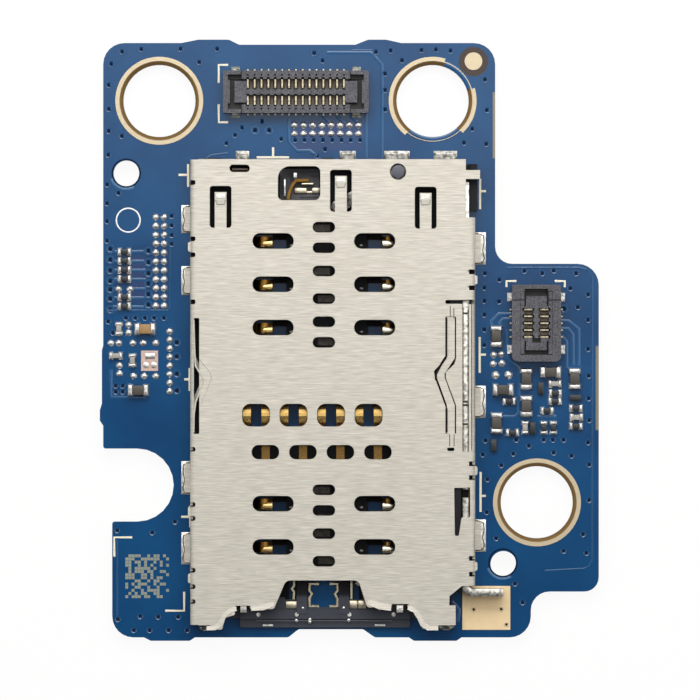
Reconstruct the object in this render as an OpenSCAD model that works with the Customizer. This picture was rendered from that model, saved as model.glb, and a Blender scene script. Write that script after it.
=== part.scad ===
// Card tray socket for two SIM cards and a memory card, on its own small circuit board.
// Sizes are millimetres. The origin is the middle of the board's underside, +X right,
// +Y away from the tray mouth and +Z up off the fitted components.

/* [Board] */
// Thickness of the board
board_t = 0.8; // [0.6:0.05:1.6]
// How far the break-off stubs stand proud of the edges
stub_h = 0.2; // [0.1:0.05:0.3]
// Board left of the socket shell
left_band = 5.15; // [5.1:0.05:7]
// Board right of the socket shell, beside its back half
right_band = 1.2; // [1.1:0.05:2]
// Reach of the right lobe past the upper right edge
lobe_out = 6.1; // [6.05:0.05:8]
// Board behind the socket shell
rear_band = 6.9; // [6.8:0.05:9]
// Board in front of the socket shell
front_band = 0.8; // [0.7:0.05:2]
// Top edge of the lobe, measured from the back of the shell
lobe_start = 6.1; // [5.5:0.1:6.5]
// Bottom edge of the lobe, measured from the front of the shell
lobe_end = 1.9; // [1.6:0.1:2.2]
// Radius of the outer corners
corner_r = 1.25; // [0.8:0.05:1.4]
// Radius of the U-shaped notch in the left edge
notch_r = 2.15; // [1.6:0.05:2.2]

/* [Mount holes] */
// Bore of the plated mount holes
mount_d = 4.26; // [3.2:0.02:4.4]
// Wall of the plating sleeve
ring_wall = 0.27; // [0.15:0.01:0.3]
// Gold flange outside the sleeve
ring_flange = 0.19; // [0.1:0.01:0.3]
// Depth of the bevel at the mouth of the sleeve
ring_bevel = 0.22; // [0.1:0.01:0.3]
// Bore of the two plain locating holes
locate_d = 1.53; // [1:0.01:1.6]

/* [Socket shell] */
// Length of the shell, back edge to front edge
shell_len = 27.3; // [26.5:0.1:32]
// Left side of the shell, from the card axis
shell_left = 7.85; // [7.6:0.05:9]
// Right side of the shell, from the card axis
shell_right = 8.88; // [8.8:0.02:10]
// Height of the shell over the board
shell_h = 1.5; // [1.4:0.05:1.9]
// Thickness of the shell sheet
sheet_t = 0.15; // [0.1:0.01:0.2]
// Outer radius of the bends
bend_r = 0.3; // [0.25:0.01:0.4]
// Gap under the shell walls
wall_gap = 0.06; // [0.03:0.01:0.15]

/* [Card contacts] */
// Row pitch of a SIM card's contacts
sim_pitch = 2.54; // [2.4:0.02:2.6]
// Middle contact row of the rear SIM card, from the back of the shell
rear_sim_y = 7.35; // [7.2:0.05:7.6]
// Middle contact row of the front SIM card, from the front of the shell
front_sim_y = 4.54; // [4.4:0.02:4.7]
// Tip row of the memory card contacts, from the front of the shell
memory_y = 12.3; // [12.1:0.05:12.5]
// Pitch of the memory card contacts
memory_pitch = 1.1; // [1:0.01:1.15]
// Middle of the memory card contacts, from the card axis
memory_x = -0.68; // [-0.8:0.02:-0.5]
// Thickness of the contact strip
contact_t = 0.12; // [0.08:0.01:0.15]
// Rise of the contact tips above the socket floor
tip_rise = 0.5; // [0.3:0.02:0.6]
// Width of a SIM contact tongue
sim_tongue_w = 0.6; // [0.4:0.02:0.64]
// Width of a memory card contact tongue
memory_tongue_w = 0.48; // [0.3:0.02:0.5]

/* [Ejector] */
// Thickness of the socket floor
floor_t = 0.3; // [0.25:0.01:0.4]
// Width of the push rod, seen from above
rod_w = 0.4; // [0.3:0.02:0.42]
// Height of the push rod
rod_h = 0.9; // [0.7:0.02:0.95]
// Reach of the push head past the rod
head_reach = 2; // [1.5:0.05:2.4]
// Gold pad under the push head, across
pad_w = 2.82; // [2.6:0.02:3]
// Gold pad under the push head, along the rod
pad_l = 2.58; // [2.4:0.02:2.7]
// Running clearance at the rod and the lever
run_gap = 0.06; // [0.03:0.01:0.08]
// Radius of the pivot post inside the lever
pivot_r = 0.28; // [0.2:0.01:0.3]
// Radius of the head of the post, seen in the roof
pivot_head_r = 0.38; // [0.34:0.01:0.42]
// Pivot position right of the card axis
pivot_x = 4.35; // [4.2:0.05:4.6]
// Pivot position in front of the back edge
pivot_y = 0.71; // [0.7:0.01:0.8]
// Thickness of the lever
lever_t = 0.3; // [0.2:0.01:0.35]
// Half width of the lever arms
lever_r = 0.38; // [0.3:0.01:0.4]
// Length of the pushing arm
lever_arm = 4.1; // [3.6:0.05:4.1]

/* [Board connectors] */
// Contact pitch of both connectors
pin_pitch = 0.404; // [0.35:0.002:0.41]
// Contacts in a row of the main connector
main_pins = 15; // [9:2:15]
// Contacts in a row of the small connector
small_pins = 5; // [3:2:5]
// Height of the connector housings
housing_h = 0.85; // [0.6:0.05:1]
// Length of the main connector past its rows of contacts, both ends together
main_ends = 2.5; // [2.3:0.05:2.9]
// Length of the small connector past its rows of contacts, both ends together
small_ends = 2.5; // [2.3:0.05:2.7]
// Width of the main connector
main_w = 2.5; // [2.4:0.05:2.8]
// Width of the small connector
small_w = 2.9; // [2.7:0.05:3]

/* [Chips] */
// Length of the larger chips
big_chip_l = 1.15; // [0.95:0.01:1.2]
// Width of the larger chips
big_chip_w = 0.6; // [0.5:0.01:0.62]
// Height of the larger chips
big_chip_h = 0.5; // [0.3:0.01:0.6]
// Length of the smaller chips
small_chip_l = 0.7; // [0.6:0.01:0.74]
// Width of the smaller chips
small_chip_w = 0.34; // [0.25:0.01:0.38]
// Height of the smaller chips
small_chip_h = 0.28; // [0.2:0.01:0.35]
// Share of a chip's length that is metal, at each end
cap_share = 0.2; // [0.15:0.01:0.3]
// Radius of the solder domes
dome_r = 0.21; // [0.15:0.01:0.22]
// Height of the solder domes
dome_h = 0.13; // [0.08:0.01:0.14]

/* [Hidden] */
$fn = 48;
// Thickness of gold and solder lands on the board
land_t = 0.03;
// Depth of a cut that passes clear through a sheet or a board
through = 4;

// Board edges
board_w = stub_h + left_band + shell_left + shell_right + right_band + lobe_out;
board_l = 2 * stub_h + front_band + shell_len + rear_band;
edge_left = -board_w / 2 + stub_h;
edge_lobe = board_w / 2;
edge_right = edge_lobe - lobe_out;
edge_top = board_l / 2 - stub_h;
edge_bottom = -board_l / 2 + stub_h;
// Card axis and the back and front edges of the shell
axis_x = edge_left + left_band + shell_left;
front_y = edge_bottom + front_band;
back_y = front_y + shell_len;
// Lobe edges and the foot of the board below it
lobe_top = back_y - lobe_start;
lobe_bottom = front_y + lobe_end;
foot_right = edge_right + 2.1;
// Left edge of the board below the notch
low_left = edge_left + 0.53;
notch_in = 2;
notch_drop = 19.13;
notch_x = edge_left + notch_in;
notch_y = back_y - notch_drop;

// Mount hole centres
mount_ul = [edge_left + 3.3, edge_top - 3.4];
mount_ur = [edge_right - 3.68, edge_top - 3.4];
mount_lr = [edge_lobe - 3.64, lobe_bottom + 5.25];
locate_l = [edge_left + 1.37, back_y - 0.78];
locate_r = [edge_right + 0.49, lobe_bottom + 1.62];
sleeve_r = mount_d / 2 + ring_wall;
// Angles between which the upper right hole keeps its flange
upper_right_arcs = [[73, 231], [-47, 17]];

// Heights inside the socket, over the top of the board
roof_z = shell_h - sheet_t;
collar_h = 0.04;
lever_z = floor_t + collar_h + run_gap / 2;
hub_r = 0.5;
ear_t = 0.42;

// Distance from the back of the shell of a place that is given from its front
function from_front(d) = shell_len - d;
// Tip row of the memory card contacts, and the back of the push head
memory_row = -from_front(memory_y);
head_y = -from_front(2.1);

// Sides of the socket moulding
base_left = -shell_left + sheet_t + 0.08;
rod_x = shell_right - sheet_t - 0.2 - rod_w / 2;
base_right = rod_x - rod_w / 2 - run_gap;
// The gold pad starts a little left of the rod and ends past the front of the shell
pad_left = rod_x - 0.18;
pad_front = -from_front(-0.35);
// Edge of the roof where the shell stands back beside the rod's top end
step_right = shell_right - 0.57;
step_y = 3.4;

// Angles of the lever's two arms, as the push rod leaves them
lever_left_a = 210;
lever_right_a = -3;
hook_r = 0.35;
hook_arm = (rod_x - rod_w / 2 - 0.175 - pivot_x) / cos(lever_right_a);
hook_y = -pivot_y + hook_arm * sin(lever_right_a) - hook_r - 0.05;

// Sockets of the contacts
tongue_root = 4.35;
rail_off = 0.81;
rail_w = 0.4;
// Free ends of the tongues and inner ends of the bays under them, left and right of the card axis
tongue_ends = [3.04, 3.41];
bay_ends = [2.21, 2.6];
function tongue_end(side) = tongue_ends[side < 0 ? 0 : 1];
function bay_end(side) = bay_ends[side < 0 ? 0 : 1];
// Half width of the opening between the front ribs
front_open = 0.95;

// Board connectors: offsets from the card axis and the shell, and from the lobe's corner
main_shift = 1.65;
main_rise = 4;
small_in = 2.41;
small_drop = 3.5;
main_at = [axis_x - main_shift, back_y + main_rise];
small_at = [edge_right + small_in, lobe_top - small_drop];
// Fiducial, from the board's upper right corner
dot_in = 1.28;
dot_drop = 1.07;
dot_r = 0.52;

// Leaf springs: ends, bow and how far the band's ends lie under the roof
leaf_start = 9;
leaf_end = 16.3;
leaf_bow = 0.6;
bow_from = 12.5;
bow_to = 12.78;
leaf_lap = 0.2;
leaf_w = 0.46;
leaf_in = 1.66;
// Seam between the roof and each folded side, from the outer face of the side
seam = 0.5;

upper_names = [for (i = [1:6]) str("upper_sim_contact_", i)];
lower_names = [for (i = [1:6]) str("lower_sim_contact_", i)];
memory_names = [for (i = [1:8]) str("memory_contact_", i)];

// Outlines

function unit2(v) = v / norm(v);
function turn(a) = a > 180 ? a - 360 : a < -180 ? a + 360 : a;

// Points of one rounded corner q between its neighbours p and s; q[2] is the radius
function corner(p, q, s, n) =
    let (r = is_undef(q[2]) ? 0 : q[2],
         c = [q[0], q[1]],
         u = unit2([p[0], p[1]] - c),
         v = unit2([s[0], s[1]] - c),
         half = acos(max(-1, min(1, u * v))) / 2)
    r == 0 ? [c] :
    let (m = c + unit2(u + v) * (r / sin(half)),
         a = c + u * (r / tan(half)) - m,
         b = c + v * (r / tan(half)) - m,
         a0 = atan2(a[1], a[0]),
         sweep = turn(atan2(b[1], b[0]) - a0))
    [for (i = [0:n]) m + r * [cos(a0 + sweep * i / n), sin(a0 + sweep * i / n)]];

// Closed outline whose points carry their own corner radius
function rounded(pts, n = 6) =
    [for (i = [0:len(pts) - 1])
        for (q = corner(pts[(i + len(pts) - 1) % len(pts)], pts[i], pts[(i + 1) % len(pts)], n)) q];

function box_pts(w, h, r) =
    let (k = min(r, w / 2 - 0.01, h / 2 - 0.01))
    [[-w / 2, -h / 2, k], [w / 2, -h / 2, k], [w / 2, h / 2, k], [-w / 2, h / 2, k]];

// Rounded rectangle between two x values and two y values
module pane(x0, x1, y0, y1, r = 0.1) {
    translate([(x0 + x1) / 2, (y0 + y1) / 2])
        polygon(rounded(box_pts(abs(x1 - x0), abs(y1 - y0), r)));
}

// Square-cornered block between two corners
module block(a, b) {
    translate([min(a[0], b[0]), min(a[1], b[1]), min(a[2], b[2])])
        cube([abs(b[0] - a[0]), abs(b[1] - a[1]), abs(b[2] - a[2])]);
}

// Moves a piece to the socket: card axis, back edge of the shell, top of the board
module at_socket() {
    translate([axis_x, back_y, board_t]) children();
}

// Moves a piece to a point on top of the board
module on_board(p) {
    translate([p[0], p[1], board_t]) children();
}

// Board

module board_outline() {
    polygon(rounded([
        [edge_left, edge_top, corner_r],
        [edge_left + 4.6, edge_top],
        [edge_left + 5.6, edge_top + stub_h, 0.6],
        [edge_left + 7.4, edge_top + stub_h, 0.5],
        [edge_left + 8, edge_top - 0.1, 0.4],
        [main_at[0] + 3.5, edge_top - 0.1, 0.4],
        [main_at[0] + 4.25, edge_top + stub_h, 0.5],
        [main_at[0] + 5.3, edge_top + stub_h, 0.6],
        [main_at[0] + 6.2, edge_top],
        [edge_right, edge_top, corner_r],
        [edge_right, lobe_top, 1],
        [edge_lobe, lobe_top, corner_r],
        [edge_lobe, lobe_bottom, 0.85],
        [foot_right, lobe_bottom, 1.1],
        [foot_right, edge_bottom, corner_r],
        [axis_x + 8.1, edge_bottom],
        [axis_x + 7.8, edge_bottom - stub_h, 0.15],
        [axis_x + 5.3, edge_bottom - stub_h, 0.15],
        [axis_x + 5, edge_bottom],
        [axis_x + 3, edge_bottom, 0.3],
        [axis_x + 2.3, edge_bottom + 0.48, 0.3],
        [axis_x - 1.5, edge_bottom + 0.48, 0.3],
        [axis_x - 2.1, edge_bottom, 0.3],
        [axis_x - 7.6, edge_bottom],
        [axis_x - 7.9, edge_bottom - stub_h, 0.15],
        [axis_x - 10.2, edge_bottom - stub_h, 0.15],
        [axis_x - 10.6, edge_bottom],
        [low_left, edge_bottom, corner_r],
        [low_left, notch_y - notch_r, 0.15],
        for (a = [-90:15:90]) [notch_x + notch_r * cos(a), notch_y + notch_r * sin(a)],
        [edge_left, notch_y + notch_r, 0.15],
        [edge_left, notch_y + 3.5],
        [edge_left - stub_h, notch_y + 3.8, 0.1],
        [edge_left - stub_h, notch_y + 4.4, 0.1],
        [edge_left - 0.08, notch_y + 4.8],
        [edge_left - 0.08, back_y - 11.2],
        [edge_left, back_y - 10.9]]));
}

module board() {
    color([0.1, 0.27, 0.5])
        linear_extrude(board_t) difference() {
            board_outline();
            for (p = [mount_ul, mount_ur, mount_lr])
                translate(p) circle(sleeve_r);
            for (p = [locate_l, locate_r])
                translate(p) circle(d = locate_d);
        }
}

// Plated sleeve without its flange
module sleeve() {
    rotate_extrude() polygon([
        [mount_d / 2, 0], [sleeve_r, 0], [sleeve_r, board_t + land_t],
        [sleeve_r - 0.05, board_t + land_t], [mount_d / 2, board_t - ring_bevel]]);
}

// Flange of a plated hole between two angles
module flange(a0, a1) {
    rotate([0, 0, a0]) rotate_extrude(angle = a1 - a0)
        translate([sleeve_r - 0.04, board_t]) square([ring_flange + 0.04, land_t]);
}

module mount_ring(p, arcs) {
    color([0.88, 0.75, 0.5]) translate(p) {
        sleeve();
        for (a = arcs) flange(a[0], a[1]);
    }
}

module mount_ring_upper_left() {
    mount_ring(mount_ul, [[0, 360]]);
}

// The flange of this ring leaves room for the fiducial and for a track
module mount_ring_upper_right() {
    mount_ring(mount_ur, upper_right_arcs);
}

module mount_ring_lower_right() {
    mount_ring(mount_lr, [[0, 360]]);
}

module ground_pad() {
    color([0.93, 0.82, 0.6])
        at_socket() block([pad_left, pad_front, 0], [pad_left + pad_w, pad_front + pad_l, land_t]);
}

module fiducial_dot() {
    color([0.93, 0.82, 0.6])
        on_board([edge_right - dot_in, edge_top - dot_drop]) cylinder(r = dot_r, h = land_t);
}

module copper_land() {
    color([0.8, 0.55, 0.42])
        on_board([edge_left + 2.73, back_y - 11.81])
            translate([-0.5, -0.6, 0]) cube([1, 1.2, land_t]);
}

// Solder lands of the shell feet, listed by side: middle along the edge, length
left_feet = [[3.47, 1.65], [7.09, 1.7], [from_front(8.6), 1.96], [from_front(4.45), 1.9]];
right_feet = [[5.2, 1.9], [14.23, 1.9], [from_front(5.2), 1.9]];
back_feet = [[-4.8, 0.8], [1.4, 0.95], [4.3, 1.5], [7.15, 1.4]];
foot_reach = 0.35;
land_reach = 0.55;

module solder_lands() {
    color([0.82, 0.83, 0.85]) at_socket() {
        for (f = left_feet)
            block([-shell_left - land_reach, -f[0] - f[1] / 2, 0],
                  [-shell_left + 0.02, -f[0] + f[1] / 2, land_t]);
        for (f = right_feet)
            block([shell_right - 0.02, -f[0] - f[1] / 2, 0],
                  [shell_right + land_reach + 0.1, -f[0] + f[1] / 2, land_t]);
        for (f = back_feet)
            block([f[0] - f[1] / 2, -0.02, 0], [f[0] + f[1] / 2, land_reach, land_t]);
        // Lands of the contact tails in the front opening
        for (x = [-0.62, 0.62])
            block([x - 0.2, -shell_len + 1.1, 0], [x + 0.2, -shell_len + 2.2, land_t]);
    }
}

// Spherical cap standing on the board
module dome(r = dome_r, h = dome_h) {
    ball = (r * r + h * h) / (2 * h);
    rotate_extrude($fn = 24) intersection() {
        translate([0, h - ball]) circle(ball, $fn = 48);
        square([r + 1, h + 1]);
    }
}

// Loose solder domes, from the left edge and the back of the shell
left_domes = [
    [0.9, -7.59], [1.58, -7.59], [1.5, -9.69], [1.5, -10.16], [0.45, -10.76], [0.92, -10.76],
    [1.75, -10.76], [2.35, -10.76], [3.09, -10.76], [0.96, -12.08], [0.96, -12.56],
    [1.79, -12.71], [2.42, -12.71], [3.09, -12.71]];
// Loose solder domes, from the upper right edge and the top of the lobe
lobe_domes = [[-0.08, -5.36], [0.37, -5.32], [-0.12, -5.9], [0.4, -5.86]];

module solder_domes() {
    color([0.85, 0.85, 0.86]) {
        // Two rows in front of the main connector
        for (i = [0:7])
            for (j = [0:1])
                on_board(main_at + [-0.1 + 0.54 * i, -1.93 - 0.51 * j]) dome();
        // Two columns beside the left side of the shell
        for (i = [0:10])
            for (j = [0:1])
                on_board([edge_left + 3.09 + 0.5 * j, back_y - 3.35 - 0.523 * i]) dome();
        // Column beside the left leaf spring
        for (i = [0:7])
            on_board([edge_left + 3.92, back_y - 10.07 - 0.506 * i]) dome();
        for (p = left_domes)
            on_board([edge_left, back_y] + p) dome();
        for (p = lobe_domes)
            on_board([edge_right, lobe_top] + p) dome();
        for (x = [0.03, 0.79])
            on_board([edge_right + x, lobe_top - 6.55]) dome(dome_r * 1.2, dome_h * 1.2);
    }
}

// Socket moulding

// Rows of one SIM card: the middle row and the rows behind and in front of it
sim_rows = [sim_pitch, 0, -sim_pitch];
sim_middles = [-rear_sim_y, -shell_len + front_sim_y];
function memory_at(i) = memory_x + (i - 3.5) * memory_pitch;

// Part of a SIM contact that lies in the floor; side is -1 left or 1 right of the axis
module sim_seat(side) {
    scale([side, 1, 1]) {
        block([tongue_root, -0.42, floor_t - contact_t],
              [tongue_root + 0.45, 0.42, floor_t]);
        block([tongue_root, -side * 0.3, floor_t - contact_t],
              [tongue_root + 0.45, -side * (rail_off + rail_w / 2), floor_t]);
        block([-0.35, -side * (rail_off - rail_w / 2), floor_t - contact_t],
              [tongue_root + 0.45, -side * (rail_off + rail_w / 2), floor_t]);
        block([-0.35, -side * (rail_off - rail_w / 2), 0],
              [0, -side * (rail_off + rail_w / 2), floor_t]);
    }
}

// Sprung tongue: height over the floor along its run, as a share of its length
function tongue_z(s) = tip_rise * pow(sin(180 * min(1, s * 0.86)), 1.4);

module tongue(run, w) {
    n = 14;
    lower = [for (i = [0:n]) [run * i / n, floor_t - contact_t + tongue_z(i / n)]];
    upper = [for (i = [n:-1:0]) [run * i / n, floor_t + tongue_z(i / n)]];
    translate([0, w / 2, 0]) rotate([90, 0, 0])
        linear_extrude(w) polygon(concat(lower, upper));
}

module sim_contact(middle, i) {
    side = i % 2 == 0 ? -1 : 1;
    row = floor(i / 2);
    color([0.9, 0.72, 0.35])
        at_socket() translate([0, middle + sim_rows[row], 0]) {
            sim_seat(side);
            translate([side * tongue_root, 0, 0]) rotate([0, 0, side > 0 ? 180 : 0])
                tongue(tongue_root - tongue_end(side), sim_tongue_w);
        }
}

// Part of a memory card contact that lies in the floor
module memory_seat() {
    block([-memory_tongue_w / 2, -1.6, floor_t - contact_t], [memory_tongue_w / 2, -2.7, floor_t]);
    block([-memory_tongue_w / 2, -2.7, 0], [memory_tongue_w / 2, -3, floor_t]);
}

module memory_contact(i) {
    color([0.9, 0.72, 0.35])
        at_socket() translate([memory_at(i), memory_row, 0]) {
            memory_seat();
            translate([0, -1.6, 0]) rotate([0, 0, 90]) tongue(2.7, memory_tongue_w);
        }
}

// Openings in the floor under the tongues and at the front
module floor_openings() {
    for (m = sim_middles)
        for (r = sim_rows)
            for (s = [-1, 1])
                translate([s * (tongue_root + bay_end(s)) / 2, m + r])
                    square([tongue_root - bay_end(s), 0.84], center = true);
    for (i = [0:7])
        translate([memory_at(i), memory_row - 0.15])
            square([memory_tongue_w + 0.24, 2.9], center = true);
    for (i = [0:3])
        translate([(memory_at(2 * i) + memory_at(2 * i + 1)) / 2, memory_row])
            square([memory_pitch, 1.5], center = true);
    // Between and beside the two front ribs, where the board shows
    pane(-front_open, front_open, -shell_len + 1, -shell_len + 2.55, 0.05);
    for (x = [[-2.3, -1.65], [1.55, 2.3]])
        pane(x[0], x[1], -shell_len + 1.45, -shell_len + 2.55, 0.05);
}

// Floor of the moulding with its front bar, ribs and the seats of the contact strips
module socket_base() {
    front = -shell_len + 0.9;
    color([0.12, 0.12, 0.13]) at_socket() difference() {
        union() {
            linear_extrude(floor_t) difference() {
                union() {
                    pane(base_left, base_right - 0.6, -0.2, -shell_len + 0.35, 0.2);
                    pane(base_left, base_right, -0.2, -shell_len + 2.6, 0.1);
                    pane(-4.94, 5.06, front, -shell_len - 0.2, 0.1);
                }
                floor_openings();
            }
            // Front bar and its two ribs
            block([-4.94, -shell_len + 0.85, floor_t - 0.01],
                  [5.06, -shell_len + 0.3, floor_t + 0.2]);
            for (x = [-1.3, 1.18])
                block([x - 0.3, -shell_len + 0.6, floor_t - 0.01],
                      [x + 0.3, -shell_len + 2.7, floor_t + 0.25]);
        }
        for (m = sim_middles)
            for (r = sim_rows)
                for (s = [-1, 1])
                    translate([0, m + r, 0]) sim_seat(s);
        for (i = [0:7])
            translate([memory_at(i), memory_row, 0]) memory_seat();
    }
}

// Rail under the left edge of the roof, left out where the leaf spring bends in
module left_rail() {
    color([0.12, 0.12, 0.13]) at_socket() {
        block([base_left, -0.5, floor_t], [base_left + 0.75, -leaf_start, roof_z]);
        block([base_left, -leaf_end - leaf_lap, floor_t],
              [base_left + 0.75, -shell_len + 0.5, roof_z]);
    }
}

// Rail beside the push rod
module right_rail() {
    color([0.12, 0.12, 0.13]) at_socket() {
        block([base_right - 0.7, -step_y, floor_t], [base_right, -leaf_start + 0.3, roof_z]);
        block([base_right - 0.7, -leaf_end - leaf_lap - 1.2, floor_t],
              [base_right, -shell_len + 2.8, roof_z]);
    }
}

// Back wall, left open behind the lever's pivot, and the locating nubs behind it
module back_wall() {
    color([0.12, 0.12, 0.13]) at_socket() {
        for (x = [[base_left + 0.1, -3], [-2.4, 3.2]])
            block([x[0], -0.2, floor_t], [x[1], -0.33, roof_z]);
        for (x = [[-7, -6.06], [-0.06, 0.59]])
            block([x[0], 0.1, 0], [x[1], -0.2, roof_z - 0.1]);
    }
}

// Guide ear outside the top end of the rod
module rod_guide() {
    inside = rod_x + rod_w / 2 + run_gap;
    color([0.12, 0.12, 0.13]) at_socket() {
        block([base_right, -0.25, 0], [inside + ear_t, -3, 0.15]);
        block([inside, -0.25, 0.1], [inside + ear_t, -3, 0.95]);
    }
}

// Post, collar and head that carry the lever
module pivot_post() {
    under_head = lever_z + lever_t + run_gap / 2;
    color([0.12, 0.12, 0.13]) at_socket() translate([pivot_x, -pivot_y, 0]) {
        translate([0, 0, floor_t]) cylinder(r = pivot_r + 0.15, h = collar_h);
        translate([0, 0, floor_t]) cylinder(r = pivot_r, h = shell_h - floor_t);
        translate([0, 0, under_head]) cylinder(r = pivot_head_r, h = shell_h - under_head);
    }
}

// Small metal ends of the contact carrier, left in the front bar
module carrier_stubs() {
    color([0.85, 0.85, 0.86]) at_socket() {
        for (x = [-3.85, -1.6, 1.5, 4.1])
            translate([x, -shell_len + 0.57, floor_t + 0.2]) cylinder(r = 0.12, h = 0.03);
        for (x = [-3.3, 3.3])
            block([x - 0.3, -shell_len - 0.02, floor_t], [x + 0.3, -shell_len - 0.12, floor_t + 0.03]);
    }
}

// Detect switch at the back of the socket

module detect_spring() {
    color([0.9, 0.72, 0.35]) at_socket() translate([0, 0, floor_t])
        linear_extrude(0.6) polygon([
            [-2.2, -2.3], [-2.1, -1.9], [-1.92, -1.45], [-1.68, -1.14], [-0.9, -1.12],
            [-0.9, -1.27], [-1.6, -1.29], [-1.78, -1.5], [-1.95, -1.9], [-2.03, -2.34]]);
}

module detect_plate() {
    color([0.93, 0.85, 0.68]) at_socket() {
        block([-1.73, -1.64, floor_t], [-1.02, -1.96, floor_t + 0.15]);
        block([-0.69, -1.64, floor_t], [-0.2, -1.96, floor_t + 0.15]);
        block([-1.1, -1.85, floor_t], [-0.6, -1.96, floor_t + 0.1]);
        block([-1.31, -1.36, floor_t], [-0.62, -1.47, floor_t + 0.5]);
    }
}

module detect_posts() {
    color([0.9, 0.9, 0.9]) at_socket() {
        block([-2.35, -1.15, floor_t], [-2.25, -2.15, floor_t + 0.7]);
        block([-1.78, -0.76, floor_t], [-1.58, -1.1, floor_t + 0.7]);
    }
}

// Socket shell

// Long windows over the tongues of one SIM card, and the small ones over the tails
module sim_windows(middle, rows, tails) {
    for (r = rows)
        for (x = [-2.98, 2.98])
            translate([x, middle + r + 0.03]) polygon(rounded(box_pts(2.46, 0.96, 0.46)));
    for (y = tails)
        translate([0, middle + y]) polygon(rounded(box_pts(1.36, 0.67, 0.32)));
}

// U-shaped cut that frees a sprung tab; the root is at the mouth side
module tab_cut(x, y) {
    translate([x, y]) difference() {
        pane(-0.66, 0.66, 0, -2.5, 0.2);
        translate([0, -1.5]) square([0.66, 2.2], center = true);
    }
}

module roof_windows() {
    sim_windows(sim_middles[0], sim_rows, [3.38, 2.17, 0.81, -0.81, -2.17, -3.38]);
    sim_windows(sim_middles[1], [sim_pitch, 0], [3.38, 2.17, 0.81, -0.81]);
    // Windows over pairs of memory card contacts, and over their roots
    for (i = [0:3]) {
        mid = (memory_at(2 * i) + memory_at(2 * i + 1)) / 2;
        translate([mid, memory_row]) polygon(rounded(box_pts(1.68, 1.38, 0.5)));
        translate([mid + memory_pitch / 2, memory_row - 2.17])
            polygon(rounded(box_pts(1.66, 0.89, 0.42)));
    }
    tab_cut(-6.06, -1.53);
    tab_cut(1.0, -0.58);
    tab_cut(5.97, -1.58);
    // Slot and detect switch window at the back
    pane(-5.56, -4.33, -0.28, -0.76, 0.23);
    polygon(rounded([[-2.72, -2.41, 0.3], [-0.19, -2.41, 0.35], [-0.19, -0.37, 0.35],
                     [-2.72, -0.37, 0.72]]));
    translate([pivot_x, -pivot_y]) circle(pivot_head_r + 0.12);
    left_slot();
    rod_windows();
}

// Slot of the left leaf spring
module left_slot() {
    pane(-shell_left + 0.22, -shell_left + 0.56,
         -leaf_start - 0.3, -leaf_end + leaf_lap, 0.05);
}

// Cuts of the right leaf spring, the long window over the rod and the one at its front end
module rod_windows() {
    near = -leaf_in + 0.56;
    far = -leaf_in - 0.11;
    top = -leaf_start - leaf_lap;
    low = -leaf_end + leaf_lap;
    translate([shell_right, 0]) {
        pane(far, -0.03, -leaf_start + 0.78, -leaf_start + 0.51, 0.1);
        polygon(rounded([[far, top, 0.05], [far, -bow_from + 0.8, 0.2],
                         [far - leaf_bow - 0.08, -bow_from + 0.1, 0.2],
                         [far - leaf_bow - 0.01, -bow_to - 0.07, 0.2],
                         [far, -bow_to - 1.72, 0.3], [far, low, 0.05],
                         [near, low, 0.05], [near, -bow_to - 1.64, 0.3],
                         [near - leaf_bow, -bow_to - 0.05, 0.1], [near - leaf_bow, -bow_from, 0.1],
                         [near - 0.1, -bow_from + 0.5, 0.1], [near, -bow_from + 0.85, 0.1],
                         [near, top, 0.05]]));
        pane(-1.67, -1.2, -leaf_end - 0.58, -leaf_end - 0.83, 0.12);
        pane(-0.77, -0.37, -leaf_start + 0.6, -leaf_end - 0.86, 0.05);
        translate([0, -shell_len])
            polygon(rounded([[-1.26, 8.06, 0.08], [-0.3, 8.06, 0.08], [-0.3, 6.3, 0.1],
                             [-0.78, 6.3, 0.1], [-0.95, 5.2, 0.1], [-1.22, 5.2, 0.1]]));
    }
}

// Reliefs of the bends: small round notches along the two sides
left_reliefs = concat([1.35, 4.65, 5.59, 8.35],
                      [for (d = [10.3, 7.06, 6.24, 3.2, 2.24, 1.36]) from_front(d)]);
right_reliefs = concat([6.59, 7.53], [for (d = [9.45, 8.64, 3.9, 2.97]) from_front(d)]);

module bend_reliefs() {
    for (y = left_reliefs)
        pane(-shell_left - 0.2, -shell_left + 0.32, -y - 0.14, -y + 0.14, 0.12);
    for (y = right_reliefs)
        pane(shell_right - 0.45, shell_right + 0.2, -y - 0.14, -y + 0.14, 0.12);
}

// What is cut away in front of the shell's front edge, measured from that edge
module front_cut() {
    translate([0, -shell_len]) polygon(rounded([
        [-9.5, -1], [-9.5, 0], [-6.67, 0, 0.05], [-6.59, -0.25, 0.08], [-6, -0.25, 0.1],
        [-5.8, 0.45, 0.2], [-5.25, 0.6, 0.1], [-5.25, 1.15, 0.08], [-4.3, 1.15, 0.08],
        [-4.3, 0.95, 0.05], [-2.95, 0.95, 0.2], [-2.25, 2.63, 0.4], [2.05, 2.63, 0.4],
        [2.55, 1.05, 0.2], [3.95, 1.05, 0.05], [3.95, 1.25, 0.08], [5, 1.25, 0.08],
        [5, 0.95, 0.1], [5.55, 0.6, 0.2], [5.82, -0.2, 0.1], [6.62, -0.2, 0.08],
        [6.7, 0, 0.05], [shell_right - 1.17, 0], [shell_right - 1.17, 1.13],
        [shell_right - 1.54, 1.13], [shell_right - 1.54, 1.7, 0.1],
        [shell_right - 0.8, 2.3, 0.1], [shell_right + 1, 2.3], [shell_right + 1, -1]]));
}

// Folded side seen along the card axis, from its foot to the seam; x runs inwards
module side_run(y0, y1) {
    translate([0, y0, 0]) rotate([90, 0, 0]) linear_extrude(y0 - y1) polygon(rounded([
        [0, wall_gap], [0, shell_h, bend_r], [seam, shell_h], [seam, roof_z],
        [sheet_t, roof_z, bend_r - sheet_t], [sheet_t, wall_gap]]));
}

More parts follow.
